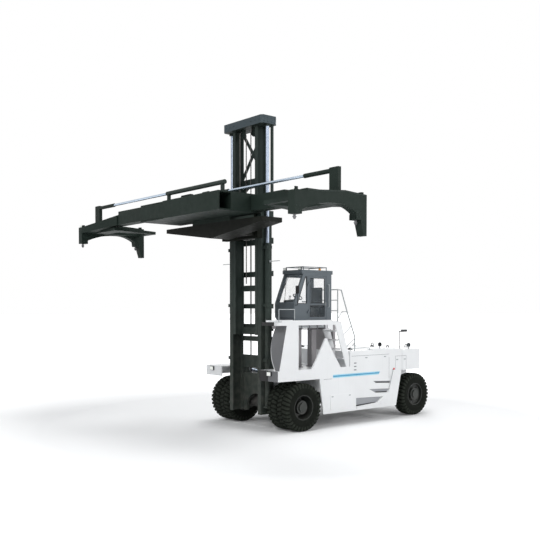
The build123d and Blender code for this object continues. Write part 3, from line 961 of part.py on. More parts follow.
# Telescoping arm and end frame on each side; the left arm runs in the rear guide
for s, hand, mid in ((1, "left", arm_back), (-1, "right", arm_front)):
    face = mid - s * ARM_W / 2
    edge = END_BACK_X if s > 0 else REACH_FRONT
    far = REACH_FRONT - UNDER_INSET if s > 0 else END_BACK_X + UNDER_INSET
    with BuildPart() as arm:
        cross_plate([(s * ARM_ROOT_Y, ARM_LOW), (s * ARM_ROOT_Y, ARM_TOP), (s * NECK_Y, ARM_TOP),
                     (s * NECK_Y, ARM_TOP - NECK_DROP), (s * end_in, NECK_END_Z), (s * CORNER_Y, NECK_END_Z),
                     (s * CORNER_Y, ARM_LOW)], mid - ARM_W / 2, mid + ARM_W / 2)
        hollow((mid - ARM_W / 2 + ARM_WALL, mid + ARM_W / 2 - ARM_WALL),
               across((ARM_ROOT_Y - 1, NECK_Y - 60), s),
               (ARM_LOW + ARM_WALL, ARM_TOP - ARM_WALL))
        # End frame: an arch between the two corners, with a guide flap behind
        with BuildSketch(SIDE.offset(-max(s * end_in, s * end_out))) as arch:
            with BuildLine():
                low_front = (SPREAD_X + CORNER_X - 150, LOCK_SEAT + 120)
                low_back = (SPREAD_X - CORNER_X + 110, LOCK_SEAT + 180)
                crown = (SPREAD_X - 260, END_ARCH_Z)
                Polyline((SPREAD_X + CORNER_X - 150, LOCK_SEAT), (REACH_FRONT, LOCK_SEAT),
                         (REACH_FRONT, END_TOP - 150),
                         (SPREAD_X + 810, END_TOP - 130), (SPREAD_X + 810, END_TOP - 80),
                         (SPREAD_X + 350, END_TOP - 80),
                         (SPREAD_X - 600, END_TOP), (END_BACK_X, END_TOP - 50), (END_BACK_X, FLAP_LOW),
                         (END_BACK_X + 120, FLAP_LOW), (END_BACK_X + 220, LOCK_SEAT - 100),
                         (END_BACK_X + 230, LOCK_SEAT), (SPREAD_X - CORNER_X + 80, LOCK_SEAT), low_back)
                ThreePointArc(low_back, (SPREAD_X - 720, END_ARCH_Z - 60), crown)
                ThreePointArc(crown, (SPREAD_X + 480, END_ARCH_Z - 90), low_front)
                Line(low_front, (SPREAD_X + CORNER_X - 150, LOCK_SEAT))
            make_face()
        extrude(arch.sketch, amount=END_T)
        # Outer flare, from the arm's face to the corner
        sections = []
        for y, x_out, z_low, z_high in ((FLARE_Y, face - s * FLARE_T, ARM_LOW, ARM_TOP - NECK_DROP - 20),
                                        (end_in, edge, UNDER_LOW, NECK_END_Z - 100)):
            with BuildSketch(SIDE.offset(-s * y)) as station:
                with Locations(((face + x_out) / 2, (z_low + z_high) / 2)):
                    Rectangle(abs(face - x_out), z_high - z_low)
            sections.append(station.sketch)
        loft(sections)
        # Low plate that ties the arm to the other corner, under the other arm's guide
        inner = face + (far - face) * 0.3
        plan_plate([(face, s * end_in), (face, s * UNDER_Y), (inner, s * UNDER_Y),
                    (far, s * (UNDER_Y + 450)),
                    (far, s * end_in)], UNDER_LOW, UNDER_TOP)
        x_edge = (far - face) / abs(far - face) * 160
        hollow((mid + x_edge * 2, far - x_edge), across((UNDER_Y + 600, end_in - 200), s),
               (UNDER_LOW - 1, UNDER_TOP + 1))
        block((mid - ARM_W / 2, mid + ARM_W / 2), across((PAD_Y, end_in), s), (UNDER_TOP, ARM_LOW))
        # Housings over the locks, lugs on the crest and a rib under the neck
        for x in (SPREAD_X - CORNER_X, SPREAD_X + CORNER_X):
            block((x - 100, x + 100), across((end_in - 20, end_out - 40), s), (LOCK_SEAT, LOCK_SEAT + 150))
        for x, z in ((END_BACK_X + 60, END_TOP + 20), (SPREAD_X - 500, END_TOP + 70),
                     (REACH_FRONT - 170, END_TOP - 60)):
            block((x, x + 90), across((CORNER_Y - 60, CORNER_Y + 60), s), (END_TOP - 170, z))
        # Sleeve and post that hold the extension rod
        rod((mid, s * SLEEVE_Y, EXT_Z), (mid, s * POST_Y[0], EXT_Z), EXT_ROD_R + 20)
        block((mid - 60, mid + 60), across(POST_Y, s), (NECK_END_Z - 20, EXT_Z + 80))
    save(arm.part, f"spreader_arm_{hand}")
    with BuildPart() as locks:
        for x in (SPREAD_X - CORNER_X, SPREAD_X + CORNER_X):
            rod((x, s * CORNER_Y, LOCK_SEAT - 60), (x, s * CORNER_Y, LOCK_SEAT), LOCK_R)
            with BuildSketch(Plane((AX + x, s * CORNER_Y, LOCK_SEAT - 60))) as head:
                Rectangle(104, 58)
            extrude(head.sketch, amount=60 - LOCK_DROP, taper=18)
    save(locks.part, f"twistlocks_{hand}")
    with BuildPart() as ram:
        rod((mid, s * EXT_ROD_IN, EXT_Z), (mid, s * SLEEVE_Y, EXT_Z), EXT_ROD_R)
    save(ram.part, f"extension_rod_{hand}")
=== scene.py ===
"""Finishes and fittings of a heavy-duty container-handling forklift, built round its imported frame.

Sizes are in metres. A place is measured from the front axle along X (forward), from the machine's middle
along Y (left) and from the ground along Z (up); station() turns it into the frame's own coordinates.
"""
import logging
import math
from dataclasses import dataclass
from enum import Enum

import bmesh
import bpy
from mathutils import Matrix, Vector


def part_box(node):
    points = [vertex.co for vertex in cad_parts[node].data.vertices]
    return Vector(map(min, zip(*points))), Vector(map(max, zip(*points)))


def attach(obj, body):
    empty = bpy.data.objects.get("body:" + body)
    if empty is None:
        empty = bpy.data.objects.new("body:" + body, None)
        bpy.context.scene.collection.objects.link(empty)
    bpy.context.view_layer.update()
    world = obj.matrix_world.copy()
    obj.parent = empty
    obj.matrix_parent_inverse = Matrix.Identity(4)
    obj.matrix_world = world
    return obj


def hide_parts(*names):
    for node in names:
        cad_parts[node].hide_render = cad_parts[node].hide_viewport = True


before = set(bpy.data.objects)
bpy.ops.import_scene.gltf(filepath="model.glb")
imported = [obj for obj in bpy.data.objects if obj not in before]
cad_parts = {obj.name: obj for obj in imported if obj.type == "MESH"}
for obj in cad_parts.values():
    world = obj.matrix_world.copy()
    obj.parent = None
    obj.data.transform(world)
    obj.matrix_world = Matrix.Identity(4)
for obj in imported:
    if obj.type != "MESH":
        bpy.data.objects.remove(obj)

log = logging.getLogger("forklift")
Point = tuple[float, float, float]
Colour = tuple[float, float, float]
Flat = tuple[float, float]
Outline = tuple[Flat, ...]

SIDES = (1, -1)
HANDS = ((1, "left"), (-1, "right"))

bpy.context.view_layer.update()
RIM_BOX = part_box("front_rim_left")
FRONT_AXLE_X = (RIM_BOX[0][0] + RIM_BOX[1][0]) / 2
AXLE_Z = (RIM_BOX[0][2] + RIM_BOX[1][2]) / 2


def station(x: float, y: float, z: float) -> Point:
    """Turn a place measured from the front axle into the part's frame."""
    return (FRONT_AXLE_X + x, y, z)


class Axis(Enum):
    """The direction that a flat outline is extruded along."""

    X = 0
    Y = 1
    Z = 2


class Graph:
    """One material's node tree, with short calls for its nodes and links."""

    def __init__(self, name: str) -> None:
        """Start a material with a Principled surface.

        Args:
            name: The material's name.
        """
        self.material = bpy.data.materials.new(name)
        self.material.use_nodes = True
        self.tree = self.material.node_tree
        self.tree.nodes.clear()
        self.output = self.node("ShaderNodeOutputMaterial")
        self.shader = self.node("ShaderNodeBsdfPrincipled")
        self.link(self.shader.outputs[0], self.output.inputs["Surface"])
        self.place = self.node("ShaderNodeTexCoord").outputs["Object"]

    def node(self, kind: str, **values: object) -> bpy.types.Node:
        """Add a node.

        Args:
            kind: The node's type name.
            values: Its properties, or its input sockets with spaces as underscores.

        Returns:
            The new node.
        """
        made = self.tree.nodes.new(kind)
        for key, value in values.items():
            socket = key.replace("_", " ")
            if hasattr(made, key):
                setattr(made, key, value)
            elif isinstance(value, bpy.types.NodeSocket):
                self.link(value, made.inputs[socket])
            else:
                made.inputs[socket].default_value = value
        return made

    def link(self, source: bpy.types.NodeSocket, target: bpy.types.NodeSocket) -> None:
        """Join two sockets."""
        self.tree.links.new(source, target)

    def noise(self, scale: float, detail: float = 3.0, stretch: Point = (1, 1, 1)) -> bpy.types.NodeSocket:
        """Noise over the piece, stretched along its axes where asked.

        Args:
            scale: How fine the noise is.
            detail: How many finer layers it has.
            stretch: The factor of each axis.

        Returns:
            The noise's value.
        """
        moved = self.node("ShaderNodeMapping", Vector=self.place, Scale=stretch)
        made = self.node("ShaderNodeTexNoise", Vector=moved.outputs[0], Scale=scale, Detail=detail)
        return made.outputs["Fac"]

    def remap(self, source: bpy.types.NodeSocket, low: float, high: float, to_low: float,
              to_high: float) -> bpy.types.NodeSocket:
        """Stretch a value's range to another range, held at its ends.

        Args:
            source: The value.
            low: The value's low end.
            high: The value's high end.
            to_low: What the low end becomes.
            to_high: What the high end becomes.

        Returns:
            The new value.
        """
        made = self.node("ShaderNodeMapRange", Value=source)
        for name, value in (("From Min", low), ("From Max", high), ("To Min", to_low), ("To Max", to_high)):
            made.inputs[name].default_value = value
        return made.outputs[0]

    def times(self, first: bpy.types.NodeSocket, second: bpy.types.NodeSocket) -> bpy.types.NodeSocket:
        """Multiply two values.

        Args:
            first: One value.
            second: The other.

        Returns:
            Their product.
        """
        made = self.node("ShaderNodeMath", operation="MULTIPLY")
        self.link(first, made.inputs[0])
        self.link(second, made.inputs[1])
        return made.outputs[0]

    def blend(self, amount: bpy.types.NodeSocket, first: object, second: object) -> bpy.types.NodeSocket:
        """Mix two colours, each a socket or a plain colour.

        Args:
            amount: How much of the second there is.
            first: The colour at 0.
            second: The colour at 1.

        Returns:
            The mixed colour.
        """
        made = self.node("ShaderNodeMix", data_type="RGBA")
        self.link(amount, made.inputs["Factor"])
        for socket, value in ((made.inputs[6], first), (made.inputs[7], second)):
            if isinstance(value, bpy.types.NodeSocket):
                self.link(value, socket)
            else:
                socket.default_value = (*value, 1)
        return made.outputs[2]

    def bump(self, height: bpy.types.NodeSocket, strength: float, distance: float) -> None:
        """Raise the surface by a height pattern."""
        made = self.node("ShaderNodeBump", Height=height, Strength=strength, Distance=distance)
        self.link(made.outputs[0], self.shader.inputs["Normal"])

    def set(self, **values: object) -> None:
        """Set or link sockets of the Principled surface.

        Args:
            values: Its input sockets, with spaces as underscores.
        """
        for key, value in values.items():
            socket = self.shader.inputs[key.replace("_", " ")]
            if isinstance(value, bpy.types.NodeSocket):
                self.link(value, socket)
            else:
                socket.default_value = value


@dataclass(frozen=True)
class Paint:
    """Sprayed paint on plate, with a faint orange peel, uneven gloss, dust low down and painted shade where
    asked.
    """

    name: str
    colour: Colour
    gloss: float
    shade: float = 0.06
    # Dust low down, fading out at a height. Set high, the same gradient also paints shade, lighter below and
    # darker above.
    dust: float = 0.10
    dust_and_shade_top: float = 1.6
    shine: float = 0.5
    # Below this height the coat turns to the near-black colour further down: painted shade on an underside.
    painted_shade_below: float = 0.0
    dust_colour: Colour = (0.33, 0.30, 0.26)
    black: Colour = (0.007, 0.008, 0.006)

    def material(self) -> bpy.types.Material:
        """Build the paint.

        Returns:
            The material.
        """
        g = Graph(self.name)
        cloud = g.noise(0.9, 4.0)
        light = tuple(min(1.0, c * (1 + self.shade)) for c in self.colour)
        dark = tuple(c * (1 - self.shade) for c in self.colour)
        base = g.blend(g.remap(cloud, 0.35, 0.65, 0, 1), dark, light)
        height = g.node("ShaderNodeSeparateXYZ", Vector=g.place).outputs["Z"]
        # Dust low down. Where it reaches high, it also paints shade, lighter below and darker above.
        low = g.remap(height, 0.3, self.dust_and_shade_top, self.dust, 0)
        dust_and_shade_coat = g.blend(g.times(low, g.remap(g.noise(5, 6.0), 0.3, 0.7, 0.2, 1)), base, self.dust_colour)
        streak = g.remap(g.noise(3.5, 5.0, (3, 3, 0.25)), 0.58, 0.8, 0, 0.22)
        coat = g.blend(streak, dust_and_shade_coat, tuple(c * 0.8 for c in self.colour))
        # Below a given height the coat turns near-black: painted shade on an underside.
        if self.painted_shade_below:
            under = g.remap(height, self.painted_shade_below, self.painted_shade_below + 0.02, 1, 0)
            coat = g.blend(under, coat, self.black)
        g.set(Base_Color=coat)
        g.set(Roughness=g.remap(g.noise(7, 4.0), 0.3, 0.7, self.gloss - 0.05, self.gloss + 0.08))
        g.set(Specular_IOR_Level=self.shine)
        g.bump(g.noise(90, 2.0), 0.06, 0.002)
        return g.material


@dataclass(frozen=True)
class Rubber:
    """Tyre rubber, dull and a little dusty."""

    name: str
    colour: Colour
    dust: float
    dust_colour: Colour = (0.09, 0.09, 0.08)

    def material(self) -> bpy.types.Material:
        """Build the rubber.

        Returns:
            The material.
        """
        g = Graph(self.name)
        worn = g.remap(g.noise(6, 6.0), 0.35, 0.7, 0, self.dust)
        g.set(Base_Color=g.blend(worn, self.colour, self.dust_colour))
        g.set(Roughness=g.remap(g.noise(14, 4.0), 0.3, 0.7, 0.78, 0.92), Specular_IOR_Level=0.12)
        g.bump(g.noise(130, 4.0), 0.25, 0.003)
        return g.material


@dataclass(frozen=True)
class Metal:
    """Bare or plated steel, with lengthwise smears."""

    name: str
    colour: Colour
    gloss: float
    stretch: Point = (1, 1, 1)

    def material(self) -> bpy.types.Material:
        """Build the metal.

        Returns:
            The material.
        """
        g = Graph(self.name)
        tint = g.remap(g.noise(2.5, 4.0), 0.3, 0.7, 0, 1)
        g.set(Base_Color=g.blend(tint, tuple(c * 0.9 for c in self.colour), self.colour), Metallic=1.0)
        smear = g.noise(30, 3.0, self.stretch)
        g.set(Roughness=g.remap(smear, 0.3, 0.7, self.gloss * 0.8, self.gloss * 1.4))
        g.bump(g.noise(60, 3.0, self.stretch), 0.04, 0.001)
        return g.material


@dataclass(frozen=True)
class Plastic:
    """Moulded plastic with a fine grain."""

    name: str
    colour: Colour
    gloss: float
    glow: float = 0.0

    def material(self) -> bpy.types.Material:
        """Build the plastic.

        Returns:
            The material.
        """
        g = Graph(self.name)
        tint = g.remap(g.noise(4, 4.0), 0.3, 0.7, 0, 1)
        g.set(Base_Color=g.blend(tint, tuple(c * 0.88 for c in self.colour), self.colour))
        g.set(Roughness=g.remap(g.noise(20, 3.0), 0.3, 0.7, self.gloss - 0.04, self.gloss + 0.06))
        if self.glow:
            g.set(Emission_Color=(*self.colour, 1), Emission_Strength=self.glow)
        cells = g.node("ShaderNodeTexVoronoi", Vector=g.place, Scale=420.0)
        g.bump(cells.outputs["Distance"], 0.12, 0.0008)
        return g.material


@dataclass(frozen=True)
class Cloth:
    """Woven seat cloth."""

    name: str
    colour: Colour
    threads: float

    def material(self) -> bpy.types.Material:
        """Build the weave from two crossed waves.

        Returns:
            The material.
        """
        g = Graph(self.name)
        over = g.node("ShaderNodeTexWave", Vector=g.place, Scale=self.threads, bands_direction="X")
        under = g.node("ShaderNodeTexWave", Vector=g.place, Scale=self.threads, bands_direction="Z")
        weave = g.times(over.outputs["Fac"], under.outputs["Fac"])
        g.set(Base_Color=g.blend(weave, tuple(c * 0.6 for c in self.colour), self.colour))
        g.set(Roughness=0.92, Sheen_Weight=0.35)
        g.bump(weave, 0.35, 0.001)
        return g.material


@dataclass(frozen=True)
class Pane:
    """Clear safety glass, seen through."""

    name: str
    colour: Colour
    body: float

    def material(self) -> bpy.types.Material:
        """Build the glass with a light film of dust.

        Returns:
            The material.
        """
        g = Graph(self.name)
        film = g.remap(g.noise(3, 5.0), 0.4, 0.7, self.body * 0.8, self.body * 1.3)
        g.set(Base_Color=(*self.colour, 1), Alpha=film, Roughness=0.06, Specular_IOR_Level=0.6)
        return g.material


class Palette:
    """Every finish of the machine, made once and asked for by name."""

    FINISHES = (
        # The mast paint's dust runs up to 5 m: real dust low down, and painted shade of the spreader on the
        # upper mast.
        Paint("mast paint", (0.024, 0.034, 0.030), 0.55, 0.10, 0.17, 5.0, 0.14),
        # The spreader paint turns near-black below 6.915 m: painted shade on the frame's underside.
        Paint("spreader paint", (0.013, 0.021, 0.017), 0.55, 0.12, 0.0, 1.0, 0.12, 6.915),
        Paint("arm paint", (0.013, 0.021, 0.017), 0.55, 0.12, 0.0, 1.0, 0.12),
        Paint("carriage shadow paint", (0.006, 0.007, 0.005), 0.65, 0.15, 0.0, 1.0, 0.06),
        Paint("crown slate paint", (0.040, 0.058, 0.068), 0.45, 0.06, 0.0, 1.0, 0.25),
        Paint("body white paint", (0.78, 0.79, 0.80), 0.32, 0.02, 0.12, 1.1),
        Paint("frame black paint", (0.020, 0.023, 0.024), 0.55, 0.15, 0.30, 1.6, 0.25),
        Paint("cab slate paint", (0.092, 0.112, 0.128), 0.38),
        Paint("rim dark paint", (0.014, 0.018, 0.016), 0.42, 0.10, 0.10, 1.6, 0.4),
        Paint("rail grey paint", (0.36, 0.385, 0.395), 0.40),
        Paint("tower shade paint", (0.34, 0.325, 0.335), 0.50),
        Paint("stripe blue paint", (0.30, 0.62, 0.76), 0.30, 0.03, 0.0),
        Paint("stripe deep paint", (0.035, 0.27, 0.50), 0.30, 0.03, 0.0),
        # The pocket grey backs the foot pockets' recesses as painted shade.
        Paint("pocket shade grey paint", (0.30, 0.31, 0.33), 0.45, 0.05, 0.0),
        # The leg grey is painted shade on the forward-facing fronts of the leg and the left fender.
        Paint("leg shade grey paint", (0.17, 0.172, 0.18), 0.60, 0.10, 0.0, 1.0, 0.2),
        Rubber("tyre rubber", (0.0050, 0.0065, 0.0045), 0.04),
        Rubber("tread rubber", (0.017, 0.021, 0.016), 0.12),
        Metal("rod chrome", (0.50, 0.59, 0.70), 0.22, (1, 1, 12)),
        Metal("lift rod chrome", (0.27, 0.31, 0.38), 0.34, (1, 1, 12)),
        Metal("lock steel", (0.15, 0.15, 0.155), 0.45),
        Metal("mirror glass", (0.09, 0.10, 0.11), 0.10),
        Metal("bolt steel", (0.22, 0.23, 0.24), 0.45),
        Metal("chain steel", (0.16, 0.155, 0.15), 0.48),
        Plastic("console plastic", (0.035, 0.038, 0.042), 0.55),
        Plastic("black rubber trim", (0.012, 0.012, 0.013), 0.70),
        Plastic("seam shadow", (0.20, 0.21, 0.23), 0.75),
        Plastic("lamp lens", (0.86, 0.88, 0.84), 0.12, 0.15),
        Plastic("amber lens", (0.80, 0.33, 0.04), 0.15, 0.10),
        Plastic("red lens", (0.55, 0.02, 0.02), 0.15, 0.10),
        Plastic("engine grey", (0.12, 0.12, 0.12), 0.60),
        Cloth("seat cloth", (0.016, 0.018, 0.018), 95.0),
        Pane("cab glass", (0.55, 0.64, 0.70), 0.05),
    )

    def __init__(self) -> None:
        """Build nothing until a finish is asked for."""
        self.made: dict[str, bpy.types.Material] = {}

    def __getitem__(self, name: str) -> bpy.types.Material:
        """Build a finish at its first use.

        Args:
            name: The finish's name.

        Returns:
            Its material.
        """
        if name not in self.made:
            finish = next(f for f in self.FINISHES if f.name == name)
            self.made[name] = finish.material()
        return self.made[name]


PALETTE = Palette()


class Shape:
    """A mesh put together from simple forms, whose places are measured from the front axle."""

    def __init__(self) -> None:
        """Start an empty mesh."""
        self.bm = bmesh.new()

    def box(self, low: Point, high: Point, bevel: float = 0.0) -> "Shape":
        """Add a box between two corners, its edges bevelled where asked.

        Args:
            low: The corner with the smaller values.
            high: The other corner.
            bevel: The width of its bevels, or 0 for sharp edges.

        Returns:
            The shape itself.
        """
        made = bmesh.ops.create_cube(self.bm, size=1.0)["verts"]
        size = [abs(b - a) for a, b in zip(low, high)]
        middle = [(a + b) / 2 for a, b in zip(low, high)]
        move = Matrix.Translation(middle) @ Matrix.Diagonal((*size, 1))
        bmesh.ops.transform(self.bm, matrix=move, verts=made)
        if bevel:
            edges = list({e for v in made for e in v.link_edges})
            bmesh.ops.bevel(self.bm, geom=edges, offset=bevel, segments=2, profile=0.6, affect="EDGES")
        return self

    def bar(self, start: Point, end: Point, radius: float, sides: int = 16,
            tip: float | None = None) -> "Shape":
        """Add a round bar between two points, tapered to another radius where asked.

        Args:
            start: The middle of one end.
            end: The middle of the other end.
            radius: Its radius.
            sides: How many flats it has round it.
            tip: The radius at its end, where that differs.

        Returns:
            The shape itself.
        """
        a, b = Vector(start), Vector(end)
        turn = (b - a).to_track_quat("Z", "Y").to_matrix().to_4x4()
        move = Matrix.Translation((a + b) / 2) @ turn
        bmesh.ops.create_cone(self.bm, cap_ends=True, segments=sides, radius1=radius,
                              radius2=radius if tip is None else tip, depth=(b - a).length, matrix=move)
        return self

    def prism(self, outline: Outline | list[Flat], axis: Axis, low: float, high: float) -> "Shape":
        """Add a flat outline extruded along an axis; its points are the other two axes in order.

        Args:
            outline: The corners in order.
            axis: The direction of the extrusion.
            low: Where it starts on the axis.
            high: Where it ends on the axis.

        Returns:
            The shape itself.
        """
        rings = []
        for level in (low, high):
            ring = []
            for point in outline:
                place = list(point)
                place.insert(axis.value, level)
                ring.append(self.bm.verts.new(place))
            rings.append(ring)
        count = len(outline)
        self.bm.faces.new(rings[0])
        self.bm.faces.new(rings[1])
        for i in range(count):
            j = (i + 1) % count
            self.bm.faces.new((rings[0][i], rings[0][j], rings[1][j], rings[1][i]))
        return self

    def pipe(self, points: list[Point], radius: float, sides: int = 12, bend: float = 0.08) -> "Shape":
        """Add a closed tube along a route whose corners are rounded.

        Args:
            points: The route.
            radius: The tube's radius.
            sides: How many flats it has round it.
            bend: How far from a corner its bend starts.

        Returns:
            The shape itself.
        """
        path = round_corners([Vector(p) for p in points], bend)
        rings = []
        side = None
        for i, place in enumerate(path):
            ahead = (path[min(i + 1, len(path) - 1)] - path[max(i - 1, 0)]).normalized()
            if side is None:
                side = ahead.orthogonal().normalized()
            side = (side - ahead * side.dot(ahead)).normalized()
            up = ahead.cross(side)
            ring = []
            for k in range(sides):
                angle = math.tau * k / sides
                spoke = side * math.cos(angle) + up * math.sin(angle)
                ring.append(self.bm.verts.new(place + spoke * radius))
            rings.append(ring)
        for one, two in zip(rings, rings[1:]):
            for k in range(sides):
                m = (k + 1) % sides
                self.bm.faces.new((one[k], one[m], two[m], two[k]))
        self.bm.faces.new(rings[0])
        self.bm.faces.new(rings[-1])
        return self

    def lathe(self, profile: list[Flat], centre: Point, segments: int = 64) -> "Shape":
        """Add a closed profile of (y, radius) points turned about an axis along Y through a centre.

        Args:
            profile: The points in order round the section.
            centre: A point of the axis.
            segments: How many steps the turn has.

        Returns:
            The shape itself.
        """
        rings = []
        for y, radius in profile:
            ring = []
            for k in range(segments):
                angle = math.tau * k / segments
                ring.append(self.bm.verts.new((centre[0] + radius * math.sin(angle), centre[1] + y,
                                               centre[2] + radius * math.cos(angle))))
            rings.append(ring)
        for one, two in zip(rings, rings[1:] + rings[:1]):
            for k in range(segments):
                m = (k + 1) % segments
                self.bm.faces.new((one[k], one[m], two[m], two[k]))
        return self

    def mesh(self, name: str, smooth: float = 0.0) -> bpy.types.Mesh:
        """Turn the forms into a mesh in the part's frame.

        Args:
            name: The mesh's name.
            smooth: The largest angle in degrees that is shaded smooth, or 0 for flat faces.

        Returns:
            The mesh, its faces pointing outwards.
        """
        bmesh.ops.translate(self.bm, vec=(FRONT_AXLE_X, 0, 0), verts=self.bm.verts)
        bmesh.ops.recalc_face_normals(self.bm, faces=self.bm.faces)
        if smooth:
            for face in self.bm.faces:
                face.smooth = True
            for edge in self.bm.edges:
                if len(edge.link_faces) != 2 or edge.calc_face_angle(0) > math.radians(smooth):
                    edge.smooth = False
        made = bpy.data.meshes.new(name)
        self.bm.to_mesh(made)
        self.bm.free()
        return made

    def piece(self, name: str, finish: str, body: str, slot: str, smooth: float = 30.0) -> bpy.types.Object:
        """Make the forms one piece that rides on a body.

        Args:
            name: The piece's name.
            finish: The name of its finish.
            body: The body that it rides on.
            slot: Not used.
            smooth: The largest angle in degrees that is shaded smooth.

        Returns:
            The piece.
        """
        mesh = self.mesh(name, smooth)
        mesh.materials.append(PALETTE[finish])
        return add_piece(name, mesh, body)


def round_corners(points: list[Vector], bend: float, steps: int = 6) -> list[Vector]:
    """Replace each inner corner of a route by a short arc-like curve.

    Args:
        points: The route.
        bend: How far from a corner its bend starts.
        steps: How many steps a bend has.

    Returns:
        The rounded route.
    """
    path = [points[0]]
    for before, corner, after in zip(points, points[1:], points[2:]):
        reach = min(bend, (corner - before).length * 0.45, (after - corner).length * 0.45)
        start = corner + (before - corner).normalized() * reach
        end = corner + (after - corner).normalized() * reach
        for k in range(steps + 1):
            t = k / steps
            path.append(start * (1 - t) ** 2 + corner * 2 * t * (1 - t) + end * t ** 2)
    path.append(points[-1])
    return path


def add_piece(name: str, mesh: bpy.types.Mesh, body: str) -> bpy.types.Object:
    """Put a mesh in the scene as a piece that rides on a body.

    Args:
        name: The piece's name.
        mesh: Its mesh, in the part's frame.
        body: The body that it rides on.

    Returns:
        The piece.
    """
    made = bpy.data.objects.new(name, mesh)
    bpy.context.scene.collection.objects.link(made)
    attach(made, body)
    log.info("%s rides on %s: %d faces", name, body, len(mesh.polygons))
    return made


class Pattern:
    """A Geometry Nodes tree with named inputs, whose result becomes a plain mesh."""

    def __init__(self, name: str) -> None:
        """Start a tree that takes and gives geometry.

        Args:
            name: The tree's name.
        """
        self.tree = bpy.data.node_groups.new(name, "GeometryNodeTree")
        self.sockets: dict[str, str] = {}
        self.tree.interface.new_socket("Geometry", in_out="OUTPUT", socket_type="NodeSocketGeometry")
        self.add_input("Geometry", "NodeSocketGeometry")
        self.add_input("Material", "NodeSocketMaterial")

    def add_input(self, name: str, kind: str) -> None:
        """Add a named input of the tree."""
        made = self.tree.interface.new_socket(name, in_out="INPUT", socket_type=kind)
        self.sockets[name] = made.identifier

    def node(self, kind: str, **values: object) -> bpy.types.Node:
        """Add a node, its properties or inputs given by name with spaces as underscores.

        Args:
            kind: The node's type name.
            values: Its properties, or its input sockets.

        Returns:
            The new node.
        """
        made = self.tree.nodes.new(kind)
        for key, value in values.items():
            if hasattr(made, key):
                setattr(made, key, value)
                continue
            socket = made.inputs[key.replace("_", " ")]
            if isinstance(value, bpy.types.NodeSocket):
                self.tree.links.new(value, socket)
            else:
                socket.default_value = value
        return made

    def sum_up(self, operation: str, first: object, second: object) -> bpy.types.NodeSocket:
        """Work out one number from two, each a socket or a plain number.

        Args:
            operation: What is done with them.
            first: The first number.
            second: The second number.

        Returns:
            The result.
        """
        made = self.node("ShaderNodeMath", operation=operation)
        for socket, value in zip(made.inputs, (first, second)):
            if isinstance(value, bpy.types.NodeSocket):
                self.tree.links.new(value, socket)
            else:
                socket.default_value = value
        return made.outputs[0]

    def close(self, inputs: bpy.types.Node, instances: bpy.types.NodeSocket) -> None:
        """End the tree: real meshes with the asked material.

        Args:
            inputs: The tree's group input.
            instances: The geometry that it gives.
        """
        real = self.node("GeometryNodeRealizeInstances", Geometry=instances)
        dressed = self.node("GeometryNodeSetMaterial", Geometry=real.outputs[0],
                            Material=inputs.outputs["Material"])
        out = self.node("NodeGroupOutput")
        self.tree.links.new(dressed.outputs[0], out.inputs[0])

    def grow(self, name: str, seed: bpy.types.Mesh, finish: str, body: str, slot: str,
             **values: object) -> bpy.types.Object:
        """Run the tree on a seed mesh and keep the result as a piece.

        Args:
            name: The piece's name.
            seed: The mesh that the tree takes.
            finish: The finish that it sets.
            body: The body that the piece rides on.
            slot: Not used.
            values: The tree's named inputs, with spaces as underscores.

        Returns:
            The new piece, a plain mesh.
        """
        holder = bpy.data.objects.new(f"{name} seed", seed)
        bpy.context.scene.collection.objects.link(holder)
        modifier = holder.modifiers.new("pattern", "NODES")
        modifier.node_group = self.tree
        modifier[self.sockets["Material"]] = PALETTE[finish]
        for key, value in values.items():
            modifier[self.sockets[key.replace("_", " ")]] = value
        graph = bpy.context.evaluated_depsgraph_get()
        mesh = bpy.data.meshes.new_from_object(holder.evaluated_get(graph), preserve_all_data_layers=True,
                                               depsgraph=graph)
        mesh.name = name
        mesh.update()
        bpy.data.objects.remove(holder)
        if not mesh.materials:
            mesh.materials.append(PALETTE[finish])
        return add_piece(name, mesh, body)


class Ring(Pattern):
    """Copies of the seed turned about an axis along Y."""

    def __init__(self) -> None:
        """Build the tree: points at the centre, each turned one step further."""
        super().__init__("ring about an axle")
        for name, kind in (("Count", "NodeSocketInt"), ("Centre", "NodeSocketVector")):
            self.add_input(name, kind)
        given = self.node("NodeGroupInput")
        points = self.node("GeometryNodePoints", Count=given.outputs["Count"],
                           Position=given.outputs["Centre"])
        index = self.node("GeometryNodeInputIndex").outputs[0]
        angle = self.sum_up("MULTIPLY", index, self.sum_up("DIVIDE", math.tau, given.outputs["Count"]))
        turn = self.node("ShaderNodeCombineXYZ", Y=angle)
        placed = self.node("GeometryNodeInstanceOnPoints", Points=points.outputs[0],
                           Instance=given.outputs["Geometry"], Rotation=turn.outputs[0])
        self.close(given, placed.outputs[0])


class Row(Pattern):
    """Copies of the seed along a straight step."""

    def __init__(self) -> None:
        """Build the tree: a line of points that carries the seed."""
        super().__init__("row along a step")
        for name, kind in (("Count", "NodeSocketInt"), ("Step", "NodeSocketVector")):
            self.add_input(name, kind)
        given = self.node("NodeGroupInput")
        line = self.node("GeometryNodeMeshLine", mode="OFFSET", Count=given.outputs["Count"],
                         Offset=given.outputs["Step"])
        placed = self.node("GeometryNodeInstanceOnPoints", Points=line.outputs[0],
                           Instance=given.outputs["Geometry"])
        self.close(given, placed.outputs[0])


